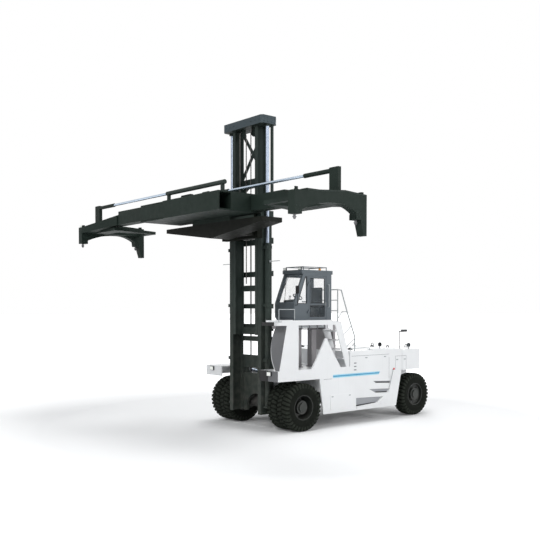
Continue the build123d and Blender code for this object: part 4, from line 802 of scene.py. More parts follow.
class Heads(Pattern):
    """A hexagon bolt head with its washer at each vertex of the seed."""

    def __init__(self) -> None:
        """Build the tree: a washer and a head, turned to the face they sit on."""
        super().__init__("bolt heads")
        for name, kind in (("Radius", "NodeSocketFloat"), ("Height", "NodeSocketFloat"),
                           ("Turn", "NodeSocketVector")):
            self.add_input(name, kind)
        given = self.node("NodeGroupInput")
        radius, height = given.outputs["Radius"], given.outputs["Height"]
        head = self.node("GeometryNodeMeshCylinder", Vertices=6, Radius=radius, Depth=height)
        wide = self.sum_up("MULTIPLY", radius, 1.45)
        thin = self.sum_up("MULTIPLY", height, 0.35)
        washer = self.node("GeometryNodeMeshCylinder", Vertices=14, Radius=wide, Depth=thin)
        joined = self.node("GeometryNodeJoinGeometry")
        self.tree.links.new(head.outputs["Mesh"], joined.inputs[0])
        self.tree.links.new(washer.outputs["Mesh"], joined.inputs[0])
        placed = self.node("GeometryNodeInstanceOnPoints", Points=given.outputs["Geometry"],
                           Instance=joined.outputs[0], Rotation=given.outputs["Turn"])
        self.close(given, placed.outputs[0])


class Patterns:
    """The trees that the classes share, each built at its first use."""

    def __init__(self) -> None:
        """Build nothing yet."""
        self.made: dict[type, Pattern] = {}

    def __call__(self, kind: type) -> Pattern:
        """Give the tree of that kind.

        Args:
            kind: The tree's class.

        Returns:
            The tree, built once.
        """
        if kind not in self.made:
            self.made[kind] = kind()
        return self.made[kind]


PATTERNS = Patterns()
FACING = {Axis.X: (0, math.pi / 2, 0), Axis.Y: (math.pi / 2, 0, 0), Axis.Z: (0, 0, 0)}


def bolts(name: str, places: list[Point], axis: Axis, radius: float, body: str, slot: str,
          finish: str = "bolt steel", height: float | None = None) -> bpy.types.Object:
    """Seat bolt heads on a face that looks along an axis.

    Args:
        name: The piece's name.
        places: Where the heads stand, from the front axle.
        axis: The direction that the heads point in.
        radius: Half the head's width across corners.
        body: The body that they ride on.
        slot: Handed on to the pattern, which does not use it.
        finish: Their finish.
        height: How far they stand out on each side of the face.

    Returns:
        The piece with every head.
    """
    seats = bpy.data.meshes.new(name)
    seats.from_pydata([station(*p) for p in places], [], [])
    return PATTERNS(Heads).grow(name, seats, finish, body, slot, Radius=radius,
                                Height=(height or radius) * 1.2, Turn=FACING[axis])


def dress(node: str, finish: str) -> None:
    """Give a carried-over node a finish in its object's own slots.

    Args:
        node: The node's name.
        finish: The name of its finish.
    """
    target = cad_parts[node]
    if not target.material_slots:
        target.data.materials.append(None)
    for holder in target.material_slots:
        holder.link = "OBJECT"
        holder.material = PALETTE[finish]


@dataclass
class Wheel:
    """One tyre with its lugs, and the nuts of its rim."""

    name: str
    body: str
    x: float
    y_out: float
    side: int
    width: float = 0.50
    radius: float = 0.807
    seat: float = 0.42
    lugs: int = 34
    lug_depth: float = 0.032
    lug_foot: float = 0.34
    lug_crest: float = 0.27

    def carcass(self) -> Shape:
        """Turn the tyre's section.

        Returns:
            The carcass, closed and without lugs.
        """
        half = self.width / 2
        tread = self.radius - self.lug_depth
        section = [(-half + 0.03, self.seat), (-half + 0.01, self.seat + 0.03), (-half, self.seat + 0.10),
                   (-half, tread - 0.16), (-half + 0.012, tread - 0.08), (-half + 0.045, tread - 0.02),
                   (-half + 0.09, tread)]
        inside = [(half - 0.05, self.seat - 0.01), (-half + 0.05, self.seat - 0.01)]
        profile = section + [(-y, r) for y, r in reversed(section)] + inside
        middle = self.side * (self.y_out - half)
        return Shape().lathe(profile, (self.x, middle, AXLE_Z), 80)

    def lug_pair(self) -> bpy.types.Mesh:
        """Shape one lug on each shoulder, half a pitch apart, about the tyre's centre.

        Returns:
            The two lugs' mesh.
        """
        half, r, d = self.width / 2, self.radius, self.lug_depth
        track = [(0.018, r, 0.0), (0.10, r, 0.10), (0.18, r - 0.004, 0.2), (half - 0.02, r - 0.022, 0.30),
                 (half, r - 0.075, 0.34), (half - 0.002, r - 0.15, 0.36)]
        bm = bmesh.new()
        pitch = math.tau / self.lugs
        for hand in (1, -1):
            rings = []
            for y, top, skew in track:
                ring = []
                foot_y = y - 0.02 if top < r - 0.01 else y
                foot = top - d - 0.012
                for place_y, rad, wide in ((foot_y, foot, self.lug_foot), (y, top, self.lug_crest),
                                           (y, top, -self.lug_crest), (foot_y, foot, -self.lug_foot)):
                    angle = pitch * (skew + wide + (0.5 if hand < 0 else 0))
                    ring.append(bm.verts.new((rad * math.sin(angle), hand * place_y, rad * math.cos(angle))))
                rings.append(ring)
            for one, two in zip(rings, rings[1:]):
                for k in range(4):
                    m = (k + 1) % 4
                    bm.faces.new((one[k], one[m], two[m], two[k]))
            bm.faces.new(rings[0])
            bm.faces.new(rings[-1])
        bmesh.ops.recalc_face_normals(bm, faces=bm.faces)
        mesh = bpy.data.meshes.new(f"{self.name} lug")
        bm.to_mesh(mesh)
        bm.free()
        return mesh

    def build(self) -> list[bpy.types.Object]:
        """Make the tyre and its lugs.

        Returns:
            The carcass and the tread.
        """
        tyre = self.carcass().piece(f"{self.name}_carcass", "tyre rubber", self.body, "tyre", 40)
        middle = self.side * (self.y_out - self.width / 2)
        tread = PATTERNS(Ring).grow(f"{self.name}_tread", self.lug_pair(), "tread rubber", self.body, "tyre",
                                    Count=self.lugs, Centre=station(self.x, middle, AXLE_Z))
        return [tyre, tread]

    def nuts(self, y: float, ring: float, count: int, radius: float) -> bpy.types.Object:
        """Seat a ring of wheel nuts on the rim's disc.

        Args:
            y: The disc's distance from the machine's middle.
            ring: The radius of their circle.
            count: How many there are.
            radius: Half a nut's width across corners.

        Returns:
            The piece with every nut.
        """
        places = []
        for k in range(count):
            angle = math.tau * k / count
            x = self.x + ring * math.sin(angle)
            places.append((x, self.side * y, AXLE_Z + ring * math.cos(angle)))
        return bolts(f"{self.name}_nuts", places, Axis.Y, radius, self.body, "rim_paint")


@dataclass
class RunningGear:
    """The six tyres and their rims."""

    front_x: float = 0.0
    front_y: float = 2.098
    rear_y: float = 1.87
    pitch: float = 0.53
    front_disc_y: float = 1.545
    rear_disc_y: float = 1.685
    nut_ring: float = 0.33
    nut_count: int = 20
    nut_radius: float = 0.022

    def build(self) -> None:
        """Make each tyre and let it stand for its solid."""
        rear_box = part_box("rear_rim_left")
        rear_x = (rear_box[0][0] + rear_box[1][0]) / 2 - FRONT_AXLE_X
        nuts = (self.nut_ring, self.nut_count, self.nut_radius)
        for side, hand in HANDS:
            body = f"front_wheel_{hand}"
            pieces = []
            for k, name in enumerate(("outer", "inner")):
                y = self.front_y - k * self.pitch
                pieces += Wheel(f"front_tyre_{name}_{hand}", body, self.front_x, y, side).build()
            for piece in pieces:
                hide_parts(f"front_tyres_{hand}")
            rim = Wheel(f"front_rim_{hand}", body, self.front_x, self.front_y, side)
            rim.nuts(self.front_disc_y, *nuts)
            steered = Wheel(f"rear_tyre_{hand}", f"rear_wheel_{hand}", rear_x, self.rear_y, side)
            for piece in steered.build():
                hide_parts(f"rear_tyre_{hand}")
            steered.nuts(self.rear_disc_y, *nuts)
            for node in (f"front_rim_{hand}", f"rear_rim_{hand}"):
                dress(node, "rim dark paint")
            dress(f"knuckle_{hand}", "frame black paint")


@dataclass
class BodyTrim:
    """Stripe, seams, handles and small hardware of the bodywork on both sides."""

    side_y: float = 2.0
    hood_z: float = 2.60
    weight_z: float = 2.56
    deck_z: float = 2.06
    tail_x: float = -7.15
    stripe: tuple[float, float, float, float] = (-3.77, -1.43, 1.705, 1.815)
    stripe_lean: float = 0.06
    seam: float = 0.010
    slot: str = "body_white"
    seam_ends: tuple[tuple[Flat, Flat], ...] = (
        ((-4.33, 1.52), (-4.33, 2.30)), ((-2.35, 2.42), (-4.33, 2.42)), ((-4.69, 1.83), (-4.69, 2.33)),
        ((-5.30, 1.83), (-5.30, 2.33)), ((-4.69, 2.33), (-5.30, 2.33)), ((-2.62, 0.54), (-2.62, 0.62)),
        ((-0.99, 1.68), (-1.38, 1.68)), ((-2.26, 2.075), (-2.26, 2.54)))
    latch_places: Outline = ((-1.40, 1.06), (-2.25, 1.06), (-4.78, 2.20), (-5.21, 2.20), (-3.10, 2.34),
                             (-4.10, 2.34))
    air_slot_levels: tuple[float, ...] = (2.17, 2.05, 1.93)
    pocket_y: float = 1.957
    pocket_backs: tuple[Outline, ...] = (
        ((-2.585, 0.63), (-2.585, 0.92), (-3.98, 0.872), (-3.69, 0.70)),
        ((-3.28, 1.19), (-4.37, 1.142), (-4.24, 1.018), (-3.61, 1.046)),
        ((-3.48, 1.472), (-4.43, 1.424), (-4.39, 1.357), (-3.61, 1.404)))
    pocket_pads: tuple[Outline, ...] = (
        ((-2.62, 0.635), (-2.62, 0.665), (-3.62, 0.705), (-3.62, 0.675)),
        ((-3.64, 1.048), (-3.64, 1.075), (-4.22, 1.050), (-4.22, 1.022)),
        ((-3.64, 1.406), (-3.64, 1.430), (-4.38, 1.386), (-4.38, 1.362)))
    leg_bow: Outline = ((1.80, 2.06), (1.37, 2.90), (1.48, 3.54))
    leg_foot_x: float = 1.01
    leg_lean: float = 0.32
    reflector: Point = (-4.60, 0.040, 1.86)
    bolt_radius: float = 0.012
    rail_y: float = 1.88
    rail_rise: float = 0.08
    eye_y: float = 0.9
    eye_rise: float = 0.10
    tail_lamp_y: Flat = (0.71, 0.89)
    tail_levels: tuple[float, ...] = (2.01, 2.17, 2.19, 2.35)
    fender_x: float = 1.0702
    sheet: float = 0.0038
    platform_front: float = 1.08

    def stripes(self) -> None:
        """Lay the blue stripe along each side, darker in its middle."""
        x_low, x_high, z_low, z_high = self.stripe
        edge = (z_high - z_low) * 0.32
        bands = (("stripe_light", "stripe blue paint", z_low, z_high, 0.0015),
                 ("stripe_core", "stripe deep paint", z_low + edge, z_high - edge, 0.0025))
        for name, finish, low, high, out in bands:
            shape = Shape()
            outline = ((x_low - self.stripe_lean, high), (x_high, high), (x_high, low), (x_low, low))
            for s in SIDES:
                shape.prism(outline, Axis.Y, s * self.side_y, s * (self.side_y + out))
            shape.piece(name, finish, "chassis", self.slot)

    def line(self, shape: Shape, start: Flat, end: Flat) -> None:
        """Draw one seam on both sides between two (x, z) points, along X or Z.

        Args:
            shape: The shape that takes it.
            start: One end.
            end: The other end.
        """
        half = self.seam / 2
        low = (min(start[0], end[0]) - half, min(start[1], end[1]) - half)
        high = (max(start[0], end[0]) + half, max(start[1], end[1]) + half)
        for s in SIDES:
            shape.box((low[0], s * self.side_y, low[1]), (high[0], s * (self.side_y + 0.0012), high[1]))

    def seams(self) -> None:
        """Mark the joints between the panels and the lids."""
        shape = Shape()
        for start, end in self.seam_ends:
            self.line(shape, start, end)
        shape.piece("panel_seams", "seam shadow", "chassis", self.slot, 0)

    def handles(self) -> None:
        """Fit handles by the steps, the panels' latches and a row of air slots."""
        bars = Shape()
        latches = Shape()
        slots = Shape()
        for s in SIDES:
            y, out = s * self.side_y, s * (self.side_y + 0.045)
            route = [(-4.52, y, 1.84), (-4.52, out, 1.84), (-4.30, out, 1.20), (-4.30, y, 1.20)]
            bars.pipe(route, 0.010, 10, 0.03)
            proud = s * (self.side_y + 0.016)
            for x, z in self.latch_places:
                latches.box((x - 0.05, y, z - 0.018), (x + 0.05, proud, z + 0.018), 0.005)
            for z in self.air_slot_levels:
                slots.box((-2.59, y, z - 0.018), (-2.47, s * (self.side_y + 0.002), z + 0.018))
        bars.piece("step_handles", "rail grey paint", "chassis", "rail_paint", 60)
        latches.piece("panel_latches", "rail grey paint", "chassis", "lock_steel")
        slots.piece("air_slots", "seam shadow", "chassis", self.slot)

    def pocket_shade(self) -> None:
        """Back the foot pockets with grey painted shade, with a dark anti-slip pad on each tread."""
        backs = Shape()
        pads = Shape()
        front = self.pocket_y + 0.004
        for back, pad in zip(self.pocket_backs, self.pocket_pads):
            for s in SIDES:
                # Grey back of each recess: painted shade.
                backs.prism(back, Axis.Y, s * self.pocket_y, s * front)
                pads.prism(pad, Axis.Y, s * front, s * (front + 0.027))
        backs.piece("pocket_backs", "pocket shade grey paint", "chassis", self.slot)
        pads.piece("pocket_pads", "black rubber trim", "chassis", "console_plastic")

    def top(self) -> None:
        """Edge the hood and the counterweight with rails, lift eyes and filler caps."""
        rails = Shape()
        foot, top = self.hood_z, self.hood_z + self.rail_rise
        for y in (self.rail_y, -self.rail_y):
            route = [(-2.40, y, foot), (-2.40, y, top), (-3.40, y, top), (-3.40, y, foot)]
            rails.pipe(route, 0.012, 10, 0.04)
        rails.piece("hood_rails", "rail grey paint", "chassis", "rail_paint", 60)
        caps = Shape()
        for x, y, z in ((-3.0, 1.3, self.hood_z), (-3.0, -1.3, self.hood_z), (-5.6, 0.0, self.weight_z)):
            caps.bar((x, y, z), (x, y, z + 0.05), 0.09, 28, 0.08)
            caps.bar((x, y, z + 0.05), (x, y, z + 0.07), 0.045, 20)
        caps.piece("filler_caps", "black rubber trim", "chassis", "console_plastic", 40)
        eyes = Shape()
        foot, top = self.weight_z, self.weight_z + self.eye_rise
        for y in (self.eye_y, -self.eye_y):
            for x in (-5.5, -6.6):
                eyes.pipe([(x - 0.07, y, foot), (x - 0.05, y, top), (x + 0.05, y, top), (x + 0.07, y, foot)],
                          0.018, 12, 0.04)
        eyes.piece("lifting_eyes", "lock steel", "chassis", "lock_steel", 60)
        places = [(x, s * y, self.hood_z) for s in SIDES for x in (-2.35, -2.9, -3.45, -4.25, -4.95)
                  for y in (1.97, 0.12)]
        bolts("hood_bolts", places, Axis.Z, self.bolt_radius, "chassis", "lock_steel")
        places = [(x, y, self.deck_z) for y in (1.12, -1.12, -1.94) for x in (-0.7, -0.1, 0.5, 0.95)]
        bolts("deck_bolts", places, Axis.Z, self.bolt_radius, "chassis", "lock_steel")

    def leg_face(self) -> None:
        """Cover the front of the platform's leg with a grey sheet of painted shade whose inner edge is
        bowed.
        """
        low, middle, high = self.leg_bow
        rows = 24
        shape = Shape()
        ring_in, ring_out = [], []
        for k in range(rows + 1):
            z = low[1] + 0.004 + (high[1] - low[1] - 0.008) * k / rows
            weights = ((z - middle[1]) * (z - high[1]) / ((low[1] - middle[1]) * (low[1] - high[1])),
                       (z - low[1]) * (z - high[1]) / ((middle[1] - low[1]) * (middle[1] - high[1])),
                       (z - low[1]) * (z - middle[1]) / ((high[1] - low[1]) * (high[1] - middle[1])))
            inner = low[0] * weights[0] + middle[0] * weights[1] + high[0] * weights[2] + 0.012
            x = self.leg_foot_x - (z - low[1]) * self.leg_lean / (high[1] - low[1])
            ring_in.append((x, inner, z))
            ring_out.append((x, self.side_y - 0.004, z))
        layers = []
        for rise in (0.0005, 0.0045):
            layers.append([[shape.bm.verts.new((x + rise, y, z)) for x, y, z in ring]
                           for ring in (ring_in, ring_out)])
        (back_in, back_out), (front_in, front_out) = layers
        for k in range(rows):
            for a, b in ((back_in, back_out), (front_in, front_out), (back_in, front_in),
                         (back_out, front_out)):
                shape.bm.faces.new((a[k], b[k], b[k + 1], a[k + 1]))
        for k in (0, rows):
            shape.bm.faces.new((back_in[k], back_out[k], front_out[k], front_in[k]))
        shape.piece("leg_face", "leg shade grey paint", "chassis", self.slot)

    def front(self) -> None:
        """Hang the black mud flap and grey painted shade on the left fender's front; edge the platform's
        front in rubber.
        """
        flap = Shape().box((1.07, 1.075, 1.705), (1.078, 1.50, 2.064), 0.002)
        flap.box((0.30, 1.066, 1.72), (1.078, 1.072, 2.064), 0.002)
        flap.piece("mud_flap", "black rubber trim", "chassis", "console_plastic")
        # A grey sheet on the outer part of the left fender's front: painted shade.
        face = Shape()
        x = self.fender_x
        for y_low, y_high in ((1.71, 1.996), (1.502, 1.71)):
            face.box((x, y_low, 1.712), (x + self.sheet, y_high, 2.058))
        face.piece("fender_face", "leg shade grey paint", "chassis", self.slot)
        edge = Shape()
        x, y, z = self.platform_front + 0.002, 1.178, 3.60
        edge.pipe([(0.60, y, z), (x, y, z), (x, 1.80, z)], 0.006, 8, 0.01)
        edge.box((self.platform_front, 1.183, 3.536), (self.platform_front + 0.008, 1.822, 3.654), 0.002)
        edge.piece("platform_bumper", "black rubber trim", "chassis", "console_plastic")

    def rear(self) -> None:
        """Frame the tail lamps, fit their lenses and put a red reflector on each side, whose faint glow is
        painted light.
        """
        frames = Shape()
        red = Shape()
        amber = Shape()
        x, back = self.tail_x, self.tail_x - 0.004
        near, far = self.tail_lamp_y
        red_low, red_high, amber_low, amber_high = self.tail_levels
        side_x, radius, side_z = self.reflector
        for s in SIDES:
            for z in (red_low - 0.015, amber_high + 0.01):
                frames.box((back, s * (near - 0.015), z), (x + 0.006, s * (far + 0.015), z + 0.005))
            red.box((back, s * near, red_low), (x, s * far, red_high))
            seat, face = s * self.side_y, s * (self.side_y + 0.012)
            # The reflector takes the glowing red lens: its faint glow is painted light.
            red.bar((side_x, seat, side_z), (side_x, face, side_z), radius, 24)
            amber.box((back, s * near, amber_low), (x, s * far, amber_high))
        frames.piece("tail_frames", "black rubber trim", "chassis", "console_plastic")
        red.piece("tail_red", "red lens", "chassis", "lamp_lens")
        amber.piece("tail_amber", "amber lens", "chassis", "lamp_lens")

    def build(self) -> None:
        """Fit every trim piece."""
        self.stripes()
        self.seams()
        self.handles()
        self.pocket_shade()
        self.top()
        self.leg_face()
        self.front()
        self.rear()


@dataclass
class CabTrim:
    """Seals, wiper, seat cushions, steering wheel and fittings of the cab."""

    y_in: float = 0.20
    y_out: float = 1.22
    sill: float = 4.28
    roof: float = 5.44
    nose_x: float = -0.33
    top_x: float = -0.75
    back_x: float = -2.11
    cab_floor: float = 3.73
    cushion_z: float = 4.12
    cushion_y: Flat = (0.45, 0.95)
    rest_rows: Flat = (0.40, 1.00)
    rest_z: float = 4.32
    middle_y: float = 0.71
    door_windows: Outline = ((3.815, 4.205), (4.285, 5.155))
    steering_centre: Point = (-0.955, 0.70, 4.512)
    steering_lean: Point = (-0.53, 0, 0.85)
    steering_radius: float = 0.17
    lever_rows: tuple[float, ...] = (0.52, 0.58, 0.82, 0.88)
    beacon: Flat = (-2.02, 0.71)
    fender_lamp_y: float = 1.60
    work_lamps: Outline = ((-4.06, 2.78), (-5.70, 2.71))

    def seals(self) -> None:
        """Run a black seal round the side windows and the door's windows."""
        shape = Shape()
        z0, z1 = self.sill, self.roof - 0.23
        for y in (self.y_in - 0.004, self.y_out + 0.004):
            start = self.back_x + 0.16 if y < 1 else -0.92
            nose, top = self.nose_x - 0.16, self.top_x - 0.11
            route = [(start, y, z0), (nose, y, z0), (top, y, z1), (start, y, z1), (start, y, z0 + 0.02)]
            shape.pipe(route, 0.008, 8, 0.05)
        shape.piece("window_seals", "black rubber trim", "chassis", "console_plastic", 60)
        door = Shape()
        y, back, front = self.y_out - 0.003, -1.775, -1.075
        for low, high in self.door_windows:
            route = [(back, y, low), (front, y, low), (front, y, high), (back, y, high),
                     (back, y, low + 0.02)]
            door.pipe(route, 0.007, 8, 0.04)
        door.piece("door_seals", "black rubber trim", "door", "console_plastic", 60)

    def wiper(self) -> None:
        """Rest a wiper on the windscreen."""
        slope = (self.top_x - self.nose_x) / (self.roof - 0.13 - self.sill)
        z_low, z_high = self.sill + 0.06, self.sill + 0.72
        foot = (self.nose_x + slope * (z_low - self.sill) + 0.02, self.middle_y, z_low)
        tip = (self.nose_x + slope * (z_high - self.sill) + 0.03, 0.50, z_high)
        upper = (tip[0] - 0.09, tip[1] + 0.02, z_high + 0.22)
        lower = (tip[0] + 0.085, tip[1] - 0.02, z_high - 0.20)
        shape = Shape().pipe([foot, tip], 0.008, 8)
        shape.pipe([upper, lower], 0.009, 8)
        shape.bar((foot[0] - 0.03, foot[1], z_low), (foot[0] + 0.02, foot[1], z_low), 0.025, 16)
        shape.piece("wiper", "black rubber trim", "chassis", "console_plastic", 60)

    def seat(self) -> None:
        """Make the cushion and the back of the seat as one padded form, on a pedestal with arm rests."""
        base_z = self.cushion_z
        near, far = self.cushion_y
        bm = bmesh.new()
        for low, high in (((-1.85, near, base_z), (-1.35, far, base_z + 0.14)),
                          ((-1.95, near, base_z + 0.02), (-1.83, far, 4.85))):
            made = bmesh.ops.create_cube(bm, size=1.0)["verts"]
            size = [b - a for a, b in zip(low, high)]
            middle = [(a + b) / 2 for a, b in zip(low, high)]
            move = Matrix.Translation(middle) @ Matrix.Diagonal((*size, 1))
            bmesh.ops.transform(bm, matrix=move, verts=made)
        bmesh.ops.bevel(bm, geom=list(bm.edges), offset=0.045, segments=4, profile=0.6, affect="EDGES")
        bmesh.ops.translate(bm, vec=(FRONT_AXLE_X, 0, 0), verts=bm.verts)
        for face in bm.faces:
            face.smooth = True
        mesh = bpy.data.meshes.new("seat_cushions")
        bm.to_mesh(mesh)
        bm.free()
        mesh.materials.append(PALETTE["seat cloth"])
        made = add_piece("seat_cushions", mesh, "chassis")
        pedestal = Shape().box((-1.80, 0.50, self.cab_floor), (-1.42, 0.90, base_z + 0.01), 0.02)
        for y in self.rest_rows:
            pedestal.box((-1.78, y - 0.03, self.rest_z), (-1.46, y + 0.03, self.rest_z + 0.04), 0.012)
            pedestal.box((-1.79, y - 0.02, 4.10), (-1.74, y + 0.02, self.rest_z + 0.02), 0.008)
        base = pedestal.piece("seat_base", "console plastic", "chassis", "console_plastic")
        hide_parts("seat")
        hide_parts("seat")

    def wheel(self) -> None:
        """Make the steering wheel, its column and console, and the hand levers as one piece."""
        centre = Vector(self.steering_centre)
        lean = Vector(self.steering_lean).normalized()
        side = Vector((0, 1, 0))
        up = lean.cross(side)

        def round_hub(angle: float, radius: float) -> Point:
            """Find the point of the wheel's plane at an angle and a radius."""
            return tuple(centre + (side * math.cos(angle) + up * math.sin(angle)) * radius)

        rim = [round_hub(math.tau * k / 28, self.steering_radius) for k in range(29)]
        shape = Shape().pipe(rim, 0.016, 10, 0.001)
        for k in range(3):
            end = round_hub(math.tau * k / 3 + math.pi / 2, self.steering_radius - 0.005)
            shape.bar(tuple(centre - lean * 0.02), end, 0.011, 10)
        shape.bar(tuple(centre - lean * 0.05), tuple(centre + lean * 0.01), 0.045, 20)
        shape.bar(tuple(centre - lean * 0.40), tuple(centre - lean * 0.04), 0.035, 16)
        shape.box((-0.76, 0.45, self.cab_floor), (-0.52, 0.95, 4.40), 0.03)
        shape.box((-0.79, 0.50, 4.22), (-0.74, 0.90, 4.42), 0.012)
        for y in self.lever_rows:
            shape.bar((-0.70, y, 4.40), (-0.73, y, 4.52), 0.008, 10)
            shape.bar((-0.73, y, 4.52), (-0.735, y, 4.55), 0.016, 12)
        made = shape.piece("driving_console", "console plastic", "chassis", "console_plastic", 40)
        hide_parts("controls")

    def outside(self) -> None:
        """Fit the door handle, grab rail, roof hatch, beacon, lamp faces and mirror glasses."""
        door = Shape()
        door.box((-1.838, 1.213, 4.17), (-1.795, 1.222, 4.33), 0.003)
        x, inner, outer = -1.816, 1.218, 1.255
        route = [(x, inner, 4.31), (x, outer, 4.31), (x, outer, 4.19), (x, inner, 4.19)]
        door.pipe(route, 0.007, 8, 0.02)
        door.piece("door_handle", "bolt steel", "door", "lock_steel")
        x, inner, outer = -1.95, self.y_out, self.y_out + 0.05
        route = [(x, inner, 4.15), (x, outer, 4.15), (x, outer, 4.95), (x, inner, 4.95)]
        grab = Shape().pipe(route, 0.013, 12, 0.03)
        grab.piece("grab_rail", "rail grey paint", "chassis", "rail_paint", 60)
        hatch = Shape().box((-1.85, 0.40, self.roof), (-1.05, 1.02, self.roof + 0.012), 0.004)
        hatch.piece("roof_hatch", "cab glass", "chassis", "glass")
        foot_top = (*self.beacon, self.roof + 0.03)
        beacon = Shape().bar((*self.beacon, self.roof), foot_top, 0.06, 24)
        beacon.piece("beacon_foot", "black rubber trim", "chassis", "console_plastic", 40)
        dome = Shape().bar(foot_top, (*self.beacon, self.roof + 0.115), 0.050, 24, 0.036)
        dome.piece("beacon_dome", "amber lens", "chassis", "lamp_lens", 40)
        faces = Shape()
        x, z_low, z_high = self.top_x + 0.075, self.roof + 0.008, self.roof + 0.082
        for y in (self.y_in + 0.12, self.y_out - 0.12):
            faces.box((x, y - 0.062, z_low), (x + 0.004, y + 0.062, z_high))
        for y in (self.fender_lamp_y, -self.fender_lamp_y):
            faces.box((1.13, y - 0.09, 1.90), (1.134, y + 0.09, 2.02))
        faces.piece("lamp_faces", "lamp lens", "chassis", "lamp_lens")
        glass = Shape()
        for y in (1.78, -1.78):
            for x, z in self.work_lamps:
                glass.bar((x + 0.015, y, z), (x + 0.018, y, z), 0.068, 28)
        glass.box((-0.387, 1.268, 4.62), (-0.385, 1.412, 4.87))
        glass.piece("mirror_faces", "mirror glass", "chassis", "rod_chrome", 40)

    def build(self) -> None:
        """Fit every piece of the cab."""
        self.seals()
        self.wiper()
        self.seat()
        self.wheel()
        self.outside()


@dataclass
class MastTrim:
    """Chains, hoses, bolts, crown plates and marker rods of the mast."""

    side_y: float = 1.072
    chain_y: float = 0.30
    sheave_x: float = 0.69
    sheave_z: float = 10.07
    reach: float = 0.136
    front_low: float = 7.42
    back_low: float = 4.95
    pitch: float = 0.09
    plate: float = 0.007
    plate_step: float = 0.009
    hose_y: float = 0.40
    clip_levels: tuple[float, ...] = (1.6, 2.3, 3.0, 4.2, 5.3, 6.4, 7.25)
    collar_levels: tuple[float, ...] = (2.30, 4.15, 6.10)
    crown_front: float = 0.978
    crown_back: float = 0.308
    crown_levels: Flat = (10.254, 10.524)
    crown_cut: float = 0.07
    crown_proud: float = 0.005
    bolt_radius: float = 0.018
    tilt_pin: Flat = (0.20, 1.95)
    feeler_x: float = 0.62
    feeler_tip: float = 1.56
    feeler_places: Outline = ((1, 5.68), (-1, 5.68), (-1, 3.72))

    def link(self, y: float) -> bpy.types.Mesh:
        """Shape one leaf-chain link of three plates and its two pins, at the foot of the back strand.

        Args:
            y: The chain's middle.

        Returns:
            The link's mesh.
        """
        shape = Shape()
        x = self.sheave_x - self.reach
        z = self.back_low + 0.03
        for k in (-1, 0, 1):
            middle = y + k * self.plate_step
            half = self.plate / 2 if k else self.plate / 2 + 0.001
            low = z if k else z + self.pitch / 2
            top = low + self.pitch
            edge = [(0.008, low - 0.018), (0.015, low), (0.010, (low + top) / 2), (0.015, top - 0.016),
                    (0.008, top - 0.004)]
            outline = [(x + out, level) for out, level in edge]
            outline += [(x - out, level) for out, level in reversed(edge)]
            shape.prism(outline, Axis.Y, middle - half, middle + half)
        for level in (z, z + self.pitch / 2):
            shape.bar((x, y - 0.0145, level), (x, y + 0.0145, level), 0.007, 8)
        return shape.mesh(f"chain link {y}", 30)

    def chains(self) -> None:
        """Hang the back and front strand of each chain and lay it over its sheave."""
        made = []
        for s, hand in HANDS:
            y = s * self.chain_y
            rises = ((0.0, self.back_low, "back"), (2 * self.reach, self.front_low, "front"))
            for shift, low, name in rises:
                seed = self.link(y)
                seed.transform(Matrix.Translation((shift, 0, low - self.back_low)))
                count = int((self.sheave_z - low) / self.pitch)
                strand = PATTERNS(Row).grow(f"chain_{name}_{hand}", seed, "chain steel", "inner_mast",
                                            "lock_steel", Count=count, Step=(0, 0, self.pitch))
                made.append(strand)
            arc = Shape()
            centre = Vector((self.sheave_x, y, self.sheave_z))
            for k in range(6):
                a0, a1 = math.pi * k / 6, math.pi * (k + 1) / 6
                a = tuple(centre + Vector((math.cos(a0), 0, math.sin(a0))) * self.reach)
                b = tuple(centre + Vector((math.cos(a1), 0, math.sin(a1))) * self.reach)
                for off in (-self.plate_step, 0, self.plate_step):
                    arc.bar((a[0], a[1] + off, a[2]), (b[0], b[1] + off, b[2]), 0.0135, 8)
            made.append(arc.piece(f"chain_over_{hand}", "chain steel", "inner_mast", "lock_steel"))
        for piece in made:
            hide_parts("lift_chains")

    def hoses(self) -> None:
        """Run hose pairs up the outer mast and a hose to each lift cylinder."""
        outer = Shape()
        clips = Shape()
        for s in SIDES:
            y = s * self.hose_y
            for x in (0.285, 0.255):
                outer.pipe([(x, y, 1.30), (x, y, 3.2), (x, y, 7.30)], 0.012, 8)
            route = [(0.33, s * 0.905, 0.95), (0.33, s * 0.93, 1.3), (0.50, s * 0.965, 1.02),
                     (0.57, s * 0.965, 0.93)]
            outer.pipe(route, 0.014, 8, 0.10)
            for z in self.clip_levels:
                clips.box((0.225, y - 0.03, z - 0.02), (0.302, y + 0.03, z + 0.02), 0.004)
        outer.piece("mast_hoses", "black rubber trim", "outer_mast", "console_plastic", 60)
        clips.piece("hose_clips", "bolt steel", "outer_mast", "lock_steel")

    def hardware(self) -> None:
        """Bolt the collars and the crown, and cap the tilt cylinders' pins."""
        y = self.side_y - 0.003
        places = [(x, s * y, z + dz) for s in SIDES for z in self.collar_levels for dz in (0.03, 0.08)
                  for x in (0.555, 0.745)]
        bolts("collar_bolts", places, Axis.Y, 0.016, "outer_mast", "mast_paint", "mast paint")
        y = self.side_y + self.crown_proud
        places = [(x, s * y, z) for s in SIDES for x in (0.42, 0.56, 0.73, 0.87) for z in (10.32, 10.45)]
        finish = "crown slate paint"
        bolts("crown_bolts", places, Axis.Y, self.bolt_radius, "inner_mast", "mast_paint", finish)
        x = self.crown_front + self.crown_proud
        places = [(x, y, 10.385) for y in (-0.90, -0.70, -0.48, 0.48, 0.70, 0.90)]
        bolts("crown_front_bolts", places, Axis.X, self.bolt_radius, "inner_mast", "mast_paint", finish)
        pins = Shape()
        x, z = self.tilt_pin
        for s in SIDES:
            for low, high in ((0.508, 0.532), (0.708, 0.732)):
                pins.bar((x, s * low, z), (x, s * high, z), 0.062, 24)
        pins.piece("tilt_pin_caps", "bolt steel", "outer_mast", "lock_steel", 40)

